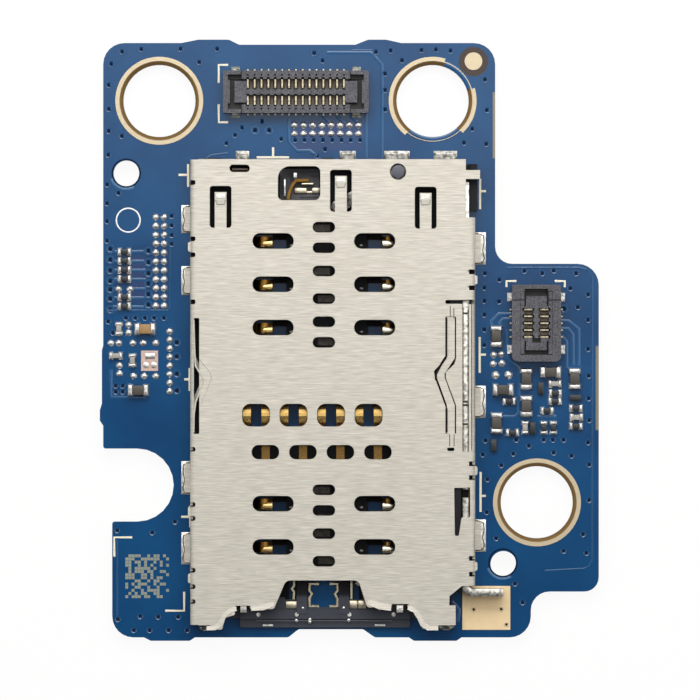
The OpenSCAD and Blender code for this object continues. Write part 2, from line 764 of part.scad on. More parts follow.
// Sprung tab in the roof, dipping towards its free end at the back
module roof_tab(x, y) {
    translate([x - 0.31, 0, 0]) rotate([90, 0, 90]) linear_extrude(0.62) polygon([
        [y - 2.7, roof_z], [y - 2.7, shell_h], [y - 2.3, shell_h],
        [y - 0.42, shell_h - 0.22], [y - 0.42, roof_z - 0.22], [y - 2.3, roof_z]]);
}

// Right leaf spring seen from above, between two distances from the back
module leaf_plan(w, y0, y1) {
    left = [[0, -y0], [0, -bow_from + 0.85], [-leaf_bow, -bow_from], [-leaf_bow, -bow_to],
            [0, -bow_to - 1.64], [0, -y1]];
    polygon(concat(left, [for (i = [5:-1:0]) left[i] + [w, i == 2 ? -0.08 : 0]]));
}

// Flat roof between the two seams, with its windows and sprung tabs
module shell_roof() {
    color([0.86, 0.84, 0.79]) at_socket() {
        translate([0, 0, roof_z]) linear_extrude(sheet_t) difference() {
            union() {
                translate([-shell_left + seam, -step_y - 0.01])
                    square([step_right + shell_left - seam, step_y + 0.01]);
                translate([-shell_left + seam, -shell_len - 0.25])
                    square([shell_right + shell_left - 2 * seam, shell_len + 0.25 - step_y]);
            }
            roof_windows();
            bend_reliefs();
            front_cut();
        }
        roof_tab(-6.06, -1.53);
        roof_tab(1.0, -0.58);
        roof_tab(5.97, -1.58);
    }
}

// Left side with its leaf spring, feet and snap dimples
module shell_left_side() {
    color([0.86, 0.84, 0.79]) at_socket() {
        difference() {
            translate([-shell_left, 0, 0]) side_run(0, -shell_len);
            translate([0, 0, shell_h - 0.55]) linear_extrude(through) {
                left_slot();
                bend_reliefs();
            }
        }
        // Leaf spring, bent in under the roof from the side wall
        translate([-shell_left + 0.01, 0, 0.35]) linear_extrude(0.6) polygon([
            [0, -leaf_start - 1.2], [sheet_t, -leaf_start - 1.2], [sheet_t, -bow_from + 1.3],
            [leaf_bow + sheet_t, -bow_from - 0.1], [leaf_bow + sheet_t, -bow_to - 0.32],
            [sheet_t, -bow_to - 1.82], [sheet_t, -leaf_end + 0.9], [0, -leaf_end + 0.9],
            [0, -bow_to - 1.72], [leaf_bow, -bow_to - 0.22], [leaf_bow, -bow_from - 0.2],
            [0, -bow_from + 1.2]]);
        for (f = left_feet)
            block([-shell_left - foot_reach, -f[0] - f[1] / 2 + 0.12, land_t],
                  [-shell_left + sheet_t, -f[0] + f[1] / 2 - 0.12, land_t + sheet_t]);
        // Snap dimples between pairs of bend reliefs
        for (y = [5.12, from_front(6.65), from_front(2.72)])
            translate([0, 0, roof_z - 0.5]) linear_extrude(0.45)
                pane(-shell_left - 0.13, -shell_left + 0.1, -y - 0.28, -y + 0.28, 0.12);
    }
}

// Right side with its feet, snap dimples, front corner wall and strap
module shell_right_side() {
    ear = rod_x + rod_w / 2 + run_gap + ear_t;
    color([0.86, 0.84, 0.79]) at_socket() {
        difference() {
            translate([shell_right, 0, 0]) scale([-1, 1, 1])
                side_run(-step_y, -shell_len + 2.3);
            translate([0, 0, shell_h - 0.55]) linear_extrude(through) {
                rod_windows();
                bend_reliefs();
            }
        }
        for (f = right_feet)
            block([shell_right + foot_reach, -f[0] - f[1] / 2 + 0.12, land_t],
                  [shell_right - sheet_t, -f[0] + f[1] / 2 - 0.12, land_t + sheet_t]);
        for (y = [7.06, from_front(9.04), from_front(3.43)])
            translate([0, 0, roof_z - 0.5]) linear_extrude(0.45)
                pane(shell_right - 0.1, shell_right + 0.13, -y - 0.26, -y + 0.26, 0.12);
        // Front corner wall beside the push head
        block([shell_right - 1.17 - sheet_t, -shell_len, wall_gap],
              [shell_right - 1.17, -shell_len + 1.13, roof_z]);
        // Strap over the top end of the rod and its guide ear
        block([step_right, -0.62, roof_z], [ear + sheet_t, -1.14, shell_h]);
        block([ear, -0.62, 0.4], [ear + sheet_t, -1.14, shell_h]);
    }
}

// Feet folded down from the back edge of the roof
module shell_back_feet() {
    color([0.86, 0.84, 0.79]) at_socket() for (f = back_feet) {
        block([f[0] - f[1] / 2 + 0.12, foot_reach, land_t],
              [f[0] + f[1] / 2 - 0.12, -sheet_t, land_t + sheet_t]);
        block([f[0] - f[1] / 2 + 0.12, 0, land_t],
              [f[0] + f[1] / 2 - 0.12, -sheet_t, roof_z]);
    }
}

// Flat band in its cut in the roof, and a blade under its left side that presses on the tray
module right_leaf_spring() {
    color([0.86, 0.84, 0.79]) at_socket() translate([shell_right - leaf_in, 0, 0]) {
        translate([0, 0, roof_z - 0.05]) linear_extrude(sheet_t)
            leaf_plan(leaf_w, leaf_start + leaf_lap, leaf_end - leaf_lap);
        translate([0, 0, 0.6]) linear_extrude(roof_z - 0.6)
            leaf_plan(sheet_t, leaf_start, leaf_end);
    }
}

// Ejector

module eject_rod() {
    rod_z = 0.2;
    color([0.8, 0.8, 0.81]) at_socket() {
        translate([0, 0, rod_z]) linear_extrude(rod_h) polygon(rounded([
            [rod_x - rod_w / 2, hook_y], [rod_x + rod_w / 2, hook_y],
            [rod_x + rod_w / 2, head_y + 0.1, 0.1], [rod_x + rod_w / 2 + 0.25, head_y, 0.1],
            [rod_x + rod_w / 2 + head_reach, head_y],
            [rod_x + rod_w / 2 + head_reach, head_y - 0.45],
            [rod_x + 0.2, head_y - 0.45, 0.3], [rod_x - rod_w / 2, head_y - 0.05, 0.3]]));
        // Hook that pushes the lever
        block([rod_x - rod_w / 2 - 0.85, hook_y, lever_z],
              [rod_x, hook_y - 0.35, lever_z + lever_t]);
    }
}

// Flat arm with a round end, from the origin
module arm(a, l, r) {
    rotate([0, 0, a]) {
        translate([0, -r]) square([l, 2 * r]);
        translate([l, 0]) circle(r - 0.001);
    }
}

module eject_lever() {
    color([0.75, 0.75, 0.76]) at_socket() translate([pivot_x, -pivot_y, lever_z])
        linear_extrude(lever_t) difference() {
            union() {
                circle(hub_r);
                arm(lever_left_a, lever_arm, lever_r);
                arm(lever_right_a, hook_arm, hook_r);
            }
            circle(pivot_r + run_gap / 2);
        }
}

// Board connectors

rail_t = 0.5;
island_t = 0.38;
pin_t = 0.12;
pin_w = 0.15;
// Blocks inside the two ends of a housing, and the trench round them
end_trench = 0.27;
end_block = 0.73;
function row_l(n) = n * pin_pitch;

// Housing with its length along X: two rails, two end blocks and a middle island
module housing(n, ends, w) {
    l = row_l(n) + ends;
    // Walls and end blocks, with the rails raised clear of the contact tails
    translate([0, 0, pin_t]) linear_extrude(housing_h - pin_t) difference() {
        polygon(rounded(box_pts(l, w, 0.12)));
        square([l - 0.8, w - 2 * rail_t], center = true);
    }
    for (s = [-1, 1])
        translate([s * (row_l(n) + ends) / 2 - s * 0.5 - 0.4, -w / 2 + 0.15, 0])
            cube([0.8, w - 0.3, 0.35]);
    // Floor at the ends
    for (s = [-1, 1])
        block([s * row_l(n) / 2, -w / 2 + rail_t - 0.01, pin_t],
              [s * (l / 2 - 0.3), w / 2 - rail_t + 0.01, 0.3]);
    for (s = [-1, 1])
        block([s * (l / 2 - 0.4 - end_trench), -w / 2 + rail_t + 0.12, 0.29],
              [s * (l / 2 - 0.4 - end_trench - end_block), w / 2 - rail_t - 0.12,
               housing_h - 0.12]);
    translate([-row_l(n) / 2 - 0.1, -island_t / 2, pin_t])
        cube([row_l(n) + 0.2, island_t, housing_h - pin_t - 0.1]);
}

// One row of contacts on the +Y side, each with a tail and two risers
module pin_row(n, w) {
    for (i = [0:n - 1])
        translate([(i - (n - 1) / 2) * pin_pitch - pin_w / 2, 0, 0]) {
            block([0, island_t / 2 + 0.03, 0], [pin_w, w / 2 + 0.12, pin_t]);
            block([0, island_t / 2 + 0.03, 0], [pin_w, island_t / 2 + 0.15, housing_h - 0.15]);
            block([0, w / 2 - rail_t - 0.15, 0],
                  [pin_w, w / 2 - rail_t - 0.03, housing_h - 0.05]);
            block([0, w / 2 - rail_t - 0.4, 0.3], [pin_w, w / 2 - rail_t - 0.03, 0.42]);
        }
}

// Hold-down clips on the long sides, near the ends
module anchors(n, ends, w) {
    for (s = [-1, 1])
        for (t = [-1, 1])
            translate([s * (row_l(n) + ends) / 2 - s * 0.72, t * w / 2, 0]) {
                block([-0.2, 0, 0], [0.2, t * 0.1, housing_h * 0.8]);
                block([-0.25, 0, 0], [0.25, t * 0.25, 0.06]);
            }
}

module main_housing() {
    color([0.2, 0.2, 0.21]) on_board(main_at) housing(main_pins, main_ends, main_w);
}

module main_contacts_rear() {
    color([0.9, 0.8, 0.6]) on_board(main_at) pin_row(main_pins, main_w);
}

module main_contacts_front() {
    color([0.9, 0.8, 0.6]) on_board(main_at) rotate([0, 0, 180]) pin_row(main_pins, main_w);
}

module main_anchors() {
    color([0.85, 0.85, 0.86]) on_board(main_at) anchors(main_pins, main_ends, main_w);
}

module small_housing() {
    color([0.2, 0.2, 0.21])
        on_board(small_at) rotate([0, 0, 90]) housing(small_pins, small_ends, small_w);
}

module small_contacts_left() {
    color([0.9, 0.8, 0.6]) on_board(small_at) rotate([0, 0, 90]) pin_row(small_pins, small_w);
}

module small_contacts_right() {
    color([0.9, 0.8, 0.6]) on_board(small_at) rotate([0, 0, -90]) pin_row(small_pins, small_w);
}

module small_anchors() {
    color([0.85, 0.85, 0.86])
        on_board(small_at) rotate([0, 0, 90]) anchors(small_pins, small_ends, small_w);
}

// Chips: x and y from the corner named with each list, then the turn of the chip

// From the upper right edge and the top of the lobe
lobe_big = [[0.06, -4.28, 90], [0.46, -7.42, 0], [0.08, -9.39, 90], [1.83, -6.78, 90],
            [1.83, -8.39, 90], [3.26, -6.39, 0], [4.68, -6.78, 90]];
lobe_small = [[0.82, -8.1, 0], [1.01, -9.95, 0], [2.86, -9.66, 90], [3.42, -9.66, 90],
              [3.53, -7.62, 0], [3.52, -8.1, 0], [3.05, -8.65, 0], [4.75, -8.5, 0],
              [4.75, -9.57, 0]];
lobe_tan = [[1.76, -9.65, 90], [3.52, -7.06, 0], [4.78, -9.04, 0]];
lobe_bare = [[2.22, -9.68, 90], [2.69, -7.34, 90], [4.72, -7.89, 0], [-0.09, -10.69, 90]];
// From the left edge and the back of the shell
left_big = [[2.06, -13.55, 0]];
left_small = [for (i = [0, 1, 2, 3, 5, 6]) [1.25, -5.39 - 0.535 * i, 0]];
left_tan = [[0.92, -9.93, 90], [1.72, -11.79, 90], [0.75, -11.51, 0]];
left_cap = [2.47, -9.94, 0];

module place(list, from) {
    for (c = list)
        on_board(from + [c[0], c[1]]) rotate([0, 0, c[2]]) children();
}

module chip_body(l, w, h) {
    k = l * (0.5 - cap_share);
    block([-k, -w / 2 + 0.02, 0], [k, w / 2 - 0.02, h - 0.02]);
}

module chip_caps(l, w, h) {
    for (s = [-1, 1])
        block([s * l * (0.5 - cap_share), -w / 2, 0], [s * l / 2, w / 2, h]);
}

lobe_corner = [edge_right, lobe_top];
left_corner = [edge_left, back_y];

module large_chip_bodies() {
    color([0.35, 0.31, 0.28]) {
        place(lobe_big, lobe_corner) chip_body(big_chip_l, big_chip_w, big_chip_h);
        place(left_big, left_corner) chip_body(big_chip_l, big_chip_w, big_chip_h);
    }
}

module small_chip_bodies() {
    color([0.12, 0.12, 0.13]) {
        place(lobe_small, lobe_corner) chip_body(small_chip_l, small_chip_w, small_chip_h);
        place(left_small, left_corner) chip_body(small_chip_l, small_chip_w, small_chip_h);
    }
}

module tan_chip_bodies() {
    color([0.72, 0.6, 0.45]) {
        place(lobe_tan, lobe_corner) chip_body(small_chip_l, small_chip_w, small_chip_h);
        place(left_tan, left_corner) chip_body(small_chip_l, small_chip_w, small_chip_h);
        place([left_cap], left_corner) chip_body(big_chip_l, big_chip_w, big_chip_h);
    }
}

module bare_chips() {
    color([0.08, 0.08, 0.09])
        place(lobe_bare, lobe_corner)
            block([-small_chip_l / 2, -small_chip_w / 2, 0],
                  [small_chip_l / 2, small_chip_w / 2, small_chip_h]);
}

module chip_end_caps() {
    color([0.85, 0.85, 0.86]) {
        place(lobe_big, lobe_corner) chip_caps(big_chip_l, big_chip_w, big_chip_h);
        place(concat(left_big, [left_cap]), left_corner) chip_caps(big_chip_l, big_chip_w, big_chip_h);
        place(concat(lobe_small, lobe_tan), lobe_corner)
            chip_caps(small_chip_l, small_chip_w, small_chip_h);
        place(concat(left_small, left_tan), left_corner)
            chip_caps(small_chip_l, small_chip_w, small_chip_h);
    }
}

board();
mount_ring_upper_left();
mount_ring_upper_right();
mount_ring_lower_right();
ground_pad();
fiducial_dot();
solder_lands();
solder_domes();
copper_land();
socket_base();
left_rail();
right_rail();
back_wall();
rod_guide();
pivot_post();
shell_roof();
shell_left_side();
shell_right_side();
shell_back_feet();
right_leaf_spring();
eject_rod();
eject_lever();
detect_spring();
detect_plate();
detect_posts();
carrier_stubs();
for (i = [0:5]) {
    sim_contact(sim_middles[0], i);
    sim_contact(sim_middles[1], i);
}
for (i = [0:7])
    memory_contact(i);
main_housing();
main_contacts_rear();
main_contacts_front();
main_anchors();
small_housing();
small_contacts_left();
small_contacts_right();
small_anchors();
large_chip_bodies();
small_chip_bodies();
tan_chip_bodies();
bare_chips();
chip_end_caps();
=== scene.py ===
"""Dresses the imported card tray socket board: finishes, raised details, plain studio and camera."""
import math
import random

import bpy
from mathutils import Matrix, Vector


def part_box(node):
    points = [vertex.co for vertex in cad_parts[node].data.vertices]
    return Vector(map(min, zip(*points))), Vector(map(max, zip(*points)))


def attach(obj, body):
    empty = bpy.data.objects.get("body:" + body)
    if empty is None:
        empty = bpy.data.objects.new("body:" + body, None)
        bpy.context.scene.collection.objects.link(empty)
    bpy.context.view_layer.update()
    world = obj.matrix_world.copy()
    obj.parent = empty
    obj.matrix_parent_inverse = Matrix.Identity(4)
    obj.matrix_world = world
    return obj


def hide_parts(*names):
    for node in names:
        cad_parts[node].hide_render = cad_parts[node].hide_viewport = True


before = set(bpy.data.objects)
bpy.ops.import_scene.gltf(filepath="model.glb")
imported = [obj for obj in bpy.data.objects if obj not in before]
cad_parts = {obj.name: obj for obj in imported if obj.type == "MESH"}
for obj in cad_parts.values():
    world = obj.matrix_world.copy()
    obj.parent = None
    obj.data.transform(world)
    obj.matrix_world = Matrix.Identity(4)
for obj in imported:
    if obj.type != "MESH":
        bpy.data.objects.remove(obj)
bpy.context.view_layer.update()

# Sizes are in millimetres. Places on the board are read from the photograph in pixels.
MM = 0.001
PX_PER_MM = 17.0
RING_PX = (159.1, 100.5)
FIELD_MM = 700 / PX_PER_MM
FIELD_CENTRE_PX = (350, 350)
CAMERA_HEIGHT = 400.0
SENSOR = 36.0
FOCUS_LEVEL = 1.2

BOARD = "board_assembly"
ROD = "push_rod"
LEVER = "lever"


def box_mm(node):
    low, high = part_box(node)
    return low / MM, high / MM


ring_low, ring_high = box_mm("mount_ring_upper_left")
RING_X = (ring_low.x + ring_high.x) / 2
RING_Y = (ring_low.y + ring_high.y) / 2
BOARD_TOP = box_mm("board")[1].z
LAND_TOP = box_mm("ground_pad")[1].z
ROOF_TOP = box_mm("shell_roof")[1].z
FLOOR_TOP = box_mm("left_rail")[0].z
HOUSING_TOP = box_mm("main_housing")[1].z
EAR_TOP = box_mm("socket_base")[1].z
BAR_TOP = box_mm("carrier_stubs")[1].z - 0.03
ROOF_UNDER = box_mm("left_rail")[1].z


def spot(px, py, z=BOARD_TOP):
    """Place of a pixel of the photograph on the part, at the height z."""
    return Vector((RING_X + (px - RING_PX[0]) / PX_PER_MM,
                   RING_Y - (py - RING_PX[1]) / PX_PER_MM, z))


def line(z, *pixels):
    """Run of places through pixels of the photograph, at the height z."""
    return [spot(px, py, z) for px, py in pixels]


def runs(z, paths):
    return [line(z, *path) for path in paths]


def flat(pixels):
    return line(0, *pixels)


def arc(centre, radius, first, last, steps):
    turns = [math.radians(first + (last - first) * i / steps) for i in range(steps + 1)]
    return [centre + Vector((radius * math.cos(t), radius * math.sin(t), 0)) for t in turns]


def circle(centre, radius, steps):
    return arc(centre, radius, 0, 360 - 360 / steps, steps - 1)


# Hand tools for modelling


def edit_mode():
    bpy.ops.object.mode_set(mode="EDIT")


def object_mode():
    bpy.ops.object.mode_set(mode="OBJECT")


def select_all():
    bpy.ops.mesh.select_all(action="SELECT")


def put_down():
    if bpy.context.mode != "OBJECT":
        object_mode()
    bpy.ops.object.select_all(action="DESELECT")


def hold(piece):
    put_down()
    piece.select_set(True)
    bpy.context.view_layer.objects.active = piece
    return piece


def shift(piece, move):
    hold(piece)
    piece.location = move
    bpy.ops.object.transform_apply(location=True)


def throw_away(piece):
    hold(piece)
    bpy.ops.object.delete()


def pick(piece, test):
    """Opens a piece in edit mode with only those faces selected that pass the test."""
    hold(piece)
    edit_mode()
    bpy.ops.mesh.select_mode(type="FACE")
    bpy.ops.mesh.select_all(action="DESELECT")
    object_mode()
    for face in piece.data.polygons:
        face.select = test(face.center, face.normal)
    edit_mode()


def faces_up(centre, normal):
    return normal.z > 0.9


def round_start(sides, radius, depth, z):
    """Low round blank that stands on the height z."""
    put_down()
    bpy.ops.mesh.primitive_cylinder_add(
        vertices=sides, radius=radius, depth=depth, location=(0, 0, z + depth / 2))
    bpy.ops.object.transform_apply(location=True)
    return bpy.context.object


def block_start(low, high):
    """Blank block between two corners."""
    put_down()
    low, high = Vector(low), Vector(high)
    bpy.ops.mesh.primitive_cube_add(size=1, location=(low + high) / 2)
    blank = bpy.context.object
    blank.scale = high - low
    bpy.ops.object.transform_apply(location=True, scale=True)
    return blank


def join(pieces):
    hold(pieces[0])
    for piece in pieces:
        piece.select_set(True)
    if len(pieces) > 1:
        bpy.ops.object.join()
    return pieces[0]


def twin(first, move, turn=0.0):
    """Copy of a piece with its own mesh, turned about the upright and moved."""
    copy = first.copy()
    copy.data = first.data.copy()
    bpy.context.scene.collection.objects.link(copy)
    copy.location = move
    copy.rotation_euler = (0, 0, turn)
    hold(copy)
    bpy.ops.object.transform_apply(location=True, rotation=True)
    return copy


def spread(first, places):
    """Copies a piece that was modelled at the origin to each place and joins the copies."""
    made = [twin(first, place) for place in places]
    throw_away(first)
    return join(made)


def bevel(piece, width, segments=2, angle=40):
    hold(piece)
    step = piece.modifiers.new("edge", "BEVEL")
    step.width = width
    step.segments = segments
    step.limit_method = "ANGLE"
    step.angle_limit = math.radians(angle)
    bpy.ops.object.modifier_apply(modifier=step.name)


def swept(paths, width=0.0, sides=1, closed=False):
    """Mesh of a curve through each path, round where it has a width."""
    put_down()
    run = bpy.data.curves.new("run", "CURVE")
    run.dimensions = "3D"
    run.bevel_depth = width / 2
    run.bevel_resolution = sides
    run.use_fill_caps = True
    for path in paths:
        spline = run.splines.new("POLY")
        spline.points.add(len(path) - 1)
        for point, place in zip(spline.points, path):
            point.co = (*place, 1)
        spline.use_cyclic_u = closed
    piece = bpy.data.objects.new("run", run)
    bpy.context.scene.collection.objects.link(piece)
    hold(piece)
    bpy.ops.object.convert(target="MESH")
    return bpy.context.object


def ridge(paths, width, rise, closed=False, sides=1):
    """Low rounded strip along each path; all paths lie at the height of the first."""
    level = paths[0][0][2]
    piece = swept([[(place[0], place[1], 0) for place in path] for path in paths], width, sides, closed)
    piece.scale = (1, 1, rise / (width / 2))
    piece.location = (0, 0, level)
    bpy.ops.object.transform_apply(location=True, scale=True)
    return piece


def strip_between(first, second, thick):
    """Bent sheet strip between two paths that have the same number of points."""
    piece = swept((first, second))
    edit_mode()
    bpy.ops.mesh.select_mode(type="EDGE")
    select_all()
    bpy.ops.mesh.bridge_edge_loops()
    select_all()
    bpy.ops.mesh.normals_make_consistent(inside=False)
    object_mode()
    if sum(face.normal.z for face in piece.data.polygons) < 0:
        edit_mode()
        bpy.ops.mesh.flip_normals()
        object_mode()
    step = piece.modifiers.new("sheet", "SOLIDIFY")
    step.thickness = thick
    step.offset = -1
    bpy.ops.object.modifier_apply(modifier=step.name)
    return piece


def dome(width, depth, rise, z, sides=16):
    """Rounded drop that stands on the height z, over the origin."""
    put_down()
    bpy.ops.mesh.primitive_uv_sphere_add(segments=sides, ring_count=10, radius=0.5)
    piece = bpy.context.object
    edit_mode()
    select_all()
    bpy.ops.mesh.bisect(plane_co=(0, 0, 0), plane_no=(0, 0, 1), clear_inner=True, use_fill=True)
    select_all()
    bpy.ops.transform.resize(value=(width, depth, 2 * rise), center_override=(0, 0, 0))
    object_mode()
    shift(piece, (0, 0, z))
    return piece


def upset_plates(places, low_z, high_z):
    """Small plates with a raised, narrower crown."""
    made = []
    for low, high in places:
        piece = block_start(spot(low[0], high[1], low_z), spot(high[0], low[1], high_z))
        pick(piece, faces_up)
        bpy.ops.mesh.inset(thickness=0.05, depth=0.02)
        object_mode()
        made.append(piece)
    return join(made)


def cut_away(pieces, cutters):
    """Takes the cutters out of each piece and throws them away."""
    tool = join(cutters)
    for piece in pieces:
        hold(piece)
        step = piece.modifiers.new("cut", "BOOLEAN")
        step.operation = "DIFFERENCE"
        step.solver = "EXACT"
        step.object = tool
        bpy.ops.object.modifier_apply(modifier=step.name)
    throw_away(tool)


def copy_of(node):
    """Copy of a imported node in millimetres, with its loose triangles merged."""
    put_down()
    piece = bpy.data.objects.new("copy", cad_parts[node].data.copy())
    bpy.context.scene.collection.objects.link(piece)
    hold(piece)
    piece.scale = (1 / MM, 1 / MM, 1 / MM)
    bpy.ops.object.transform_apply(scale=True)
    edit_mode()
    select_all()
    bpy.ops.mesh.remove_doubles(threshold=0.0005)
    object_mode()
    return piece


def softened(node, width):
    """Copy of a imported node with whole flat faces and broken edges, as on the real moulding."""
    piece = copy_of(node)
    edit_mode()
    bpy.ops.mesh.dissolve_limited(angle_limit=math.radians(1))
    object_mode()
    bevel(piece, width)
    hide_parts(node)
    return piece


def loose_boxes(node):
    """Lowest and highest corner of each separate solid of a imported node."""
    piece = copy_of(node)
    owner = list(range(len(piece.data.vertices)))

    def root(i):
        while owner[i] != i:
            owner[i] = owner[owner[i]]
            i = owner[i]
        return i

    for edge in piece.data.edges:
        owner[root(edge.vertices[0])] = root(edge.vertices[1])
    groups = {}
    for vertex in piece.data.vertices:
        groups.setdefault(root(vertex.index), []).append(vertex.co.copy())
    bpy.ops.object.delete()
    boxes = []
    for points in groups.values():
        low = Vector([min(p[i] for p in points) for i in range(3)])
        high = Vector([max(p[i] for p in points) for i in range(3)])
        boxes.append((low, high))
    return sorted(boxes, key=lambda pair: tuple(pair[0]))


def deliver(piece, name, slot, *finishes, body=BOARD, smooth=35):
    """Brings a finished piece to metres, gives it its finish and lets it ride on its body."""
    hold(piece)
    bpy.ops.object.transform_apply(location=True, rotation=True, scale=True)
    piece.scale = (MM, MM, MM)
    bpy.ops.object.transform_apply(scale=True)
    if smooth:
        bpy.ops.object.shade_smooth_by_angle(angle=math.radians(smooth))
    piece.name = name
    piece.data.name = name
    if finishes:
        piece.data.materials.clear()
        for finish in finishes:
            piece.data.materials.append(finish.material)
    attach(piece, body)
    return piece


# Finishes


def paint(red, green, blue):
    """A colour in screen values of 0 to 255, as the linear colour of a shader."""
    def linear(v):
        v = v / 255
        return v / 12.92 if v <= 0.04045 else ((v + 0.055) / 1.055) ** 2.4
    return (linear(red), linear(green), linear(blue), 1.0)


class Value:
    """A number that changes over a surface. Sums on it add Math nodes to its finish."""

    def __init__(self, finish, socket):
        self.finish = finish
        self.socket = socket

    def sum(self, operation, first, second=None):
        terms = {0: first} if second is None else {0: first, 1: second}
        return self.finish.node("ShaderNodeMath", {"operation": operation}, terms)

    def __add__(self, other):
        return self.sum("ADD", self, other)

    def __radd__(self, other):
        return self.sum("ADD", other, self)

    def __sub__(self, other):
        return self.sum("SUBTRACT", self, other)

    def __mul__(self, other):
        return self.sum("MULTIPLY", self, other)

    def __pow__(self, other):
        return self.sum("POWER", self, other)

    def size(self):
        return self.sum("ABSOLUTE", self)


class Finish:
    """A procedural material on Object coordinates; x, y and z are in millimetres."""

    def __init__(self, name, **constants):
        self.material = bpy.data.materials.new(name)
        self.material.use_nodes = True
        self.tree = self.material.node_tree
        self.shader = self.tree.nodes["Principled BSDF"]
        for socket, value in constants.items():
            self.shader.inputs[socket.replace("_", " ")].default_value = value
        metres = self.node("ShaderNodeTexCoord", output="Object")
        self.place = self.node("ShaderNodeVectorMath", {"operation": "SCALE"},
                               {0: metres, "Scale": 1 / MM})
        self.x = self.node("ShaderNodeSeparateXYZ", {}, {0: self.place}, "X")
        self.y = self.node("ShaderNodeSeparateXYZ", {}, {0: self.place}, "Y")
        self.z = self.node("ShaderNodeSeparateXYZ", {}, {0: self.place}, "Z")

    def node(self, kind, settings=None, sockets=None, output=0):
        """Adds a node: its settings first, then the values or links of its sockets."""
        made = self.tree.nodes.new(kind)
        for key, value in (settings or {}).items():
            setattr(made, key, value)
        for key, value in (sockets or {}).items():
            self.join(made.inputs[key], value)
        return Value(self, made.outputs[output])

    def join(self, socket, value):
        if isinstance(value, Value):
            self.tree.links.new(value.socket, socket)
        else:
            socket.default_value = value

    def feed(self, socket, value):
        self.join(self.shader.inputs[socket], value)

    def mix(self, share, first, second):
        """Colour that goes from the first to the second with the share."""
        return self.node("ShaderNodeMix", {"data_type": "RGBA"}, {0: share, 6: first, 7: second}, 2)

    def noise(self, scale, detail=2.0, stretch=(1, 1, 1), shift=(0, 0, 0)):
        """Soft noise with about so many features to the millimetre."""
        at = self.node("ShaderNodeMapping", {},
                       {"Vector": self.place, "Scale": stretch, "Location": shift})
        return self.node("ShaderNodeTexNoise", {},
                         {"Vector": at, "Scale": scale, "Detail": detail}, "Fac")

    def ramp(self, value, low, high):
        """Nought below low, one above high, and even in between."""
        return self.node("ShaderNodeMapRange", {"clamp": True},
                         {0: value, 1: low, 2: high, 3: 0.0, 4: 1.0})

    def bump(self, height, depth, strength=1.0):
        """Raises the surface by up to depth millimetres."""
        self.feed("Normal", self.node("ShaderNodeBump", {}, {
            "Height": height, "Distance": depth * MM, "Strength": strength}))

    def blend(self, share, first, second):
        """Shows the second shader over the first by the share."""
        both = self.tree.nodes.new("ShaderNodeMixShader")
        self.join(both.inputs[0], share)
        self.tree.links.new(first.outputs[0], both.inputs[1])
        self.tree.links.new(second.outputs[0], both.inputs[2])
        self.tree.links.new(both.outputs[0], self.tree.nodes["Material Output"].inputs["Surface"])

    def within(self, low, high, soft=0.1):
        """One inside a rectangle of the plan, fading over its soft edge."""
        mid = ((low[0] + high[0]) / 2, (low[1] + high[1]) / 2)
        half = (abs(high[0] - low[0]) / 2, abs(high[1] - low[1]) / 2)
        across = self.ramp((self.x - mid[0]).size(), half[0] + soft, half[0] - soft)
        along = self.ramp((self.y - mid[1]).size(), half[1] + soft, half[1] - soft)
        return across * along

    def near(self, centre, radius, soft=0.05):
        """One inside a circle of the plan, fading over its soft edge."""
        off_x = self.x - centre[0]
        off_y = self.y - centre[1]
        return self.ramp((off_x * off_x + off_y * off_y) ** 0.5, radius + soft, radius - soft)


FIDUCIAL_PX = (473.6, 61.3)
FIDUCIAL_DISC = 0.87
BARE_ZONES_PX = [((131, 256), (146, 302)), ((293, 119), (366, 150))]
DARK_ZONES_PX = [((106, 246), (171, 311)), ((507, 268), (592, 366))]
BROKEN_EDGES_PX = [((493, 92), (500, 158)), ((596, 346), (602, 430))]


def solder_mask(name="blue_solder_mask", lift=0.0):
    """Glossy blue mask: cloudy over the copper planes, brown at the cut edges of the board."""
    blue = Finish(name, IOR=1.5)
    cloud = blue.noise(0.22, 3.0)
    fine = blue.noise(7.0, 3.0)
    tone = blue.mix(blue.ramp(cloud, 0.35, 0.65), paint(6, 62, 108), paint(12, 74, 122))
    tone = blue.mix(fine * 0.3, tone, paint(4, 50, 92))
    if lift:
        tone = blue.mix(lift, tone, paint(96, 138, 178))
    else:
        for low, high in DARK_ZONES_PX:
            share = blue.within(*flat((low, high)), 0.05)
            tone = blue.mix(share * 0.18, tone, paint(4, 40, 80))
        for low, high in BARE_ZONES_PX:
            share = blue.within(*flat((low, high)), 0.15)
            tone = blue.mix(share * 0.4, tone, paint(60, 62, 104))
        for low, high in BROKEN_EDGES_PX:
            share = blue.within(*flat((low, high)), 0.03)
            tone = blue.mix(share * 0.75, tone, paint(150, 136, 104))
        disc = blue.near(spot(*FIDUCIAL_PX), FIDUCIAL_DISC, 0.04)
        tone = blue.mix(disc, tone, paint(58, 44, 40))
        edge = blue.ramp(blue.z, 0.02, 0.04) * blue.ramp(blue.z, 0.79, 0.76)
        layers = blue.noise(3.0, 3.0, (0.4, 0.4, 9))
        laminate = blue.mix(layers, paint(92, 84, 62), paint(150, 134, 98))
        tone = blue.mix(edge, tone, laminate)
    blue.feed("Base Color", tone)
    blue.feed("Roughness", 0.12 + fine * 0.06)
    blue.bump(fine, 0.004, 0.15)
    return blue


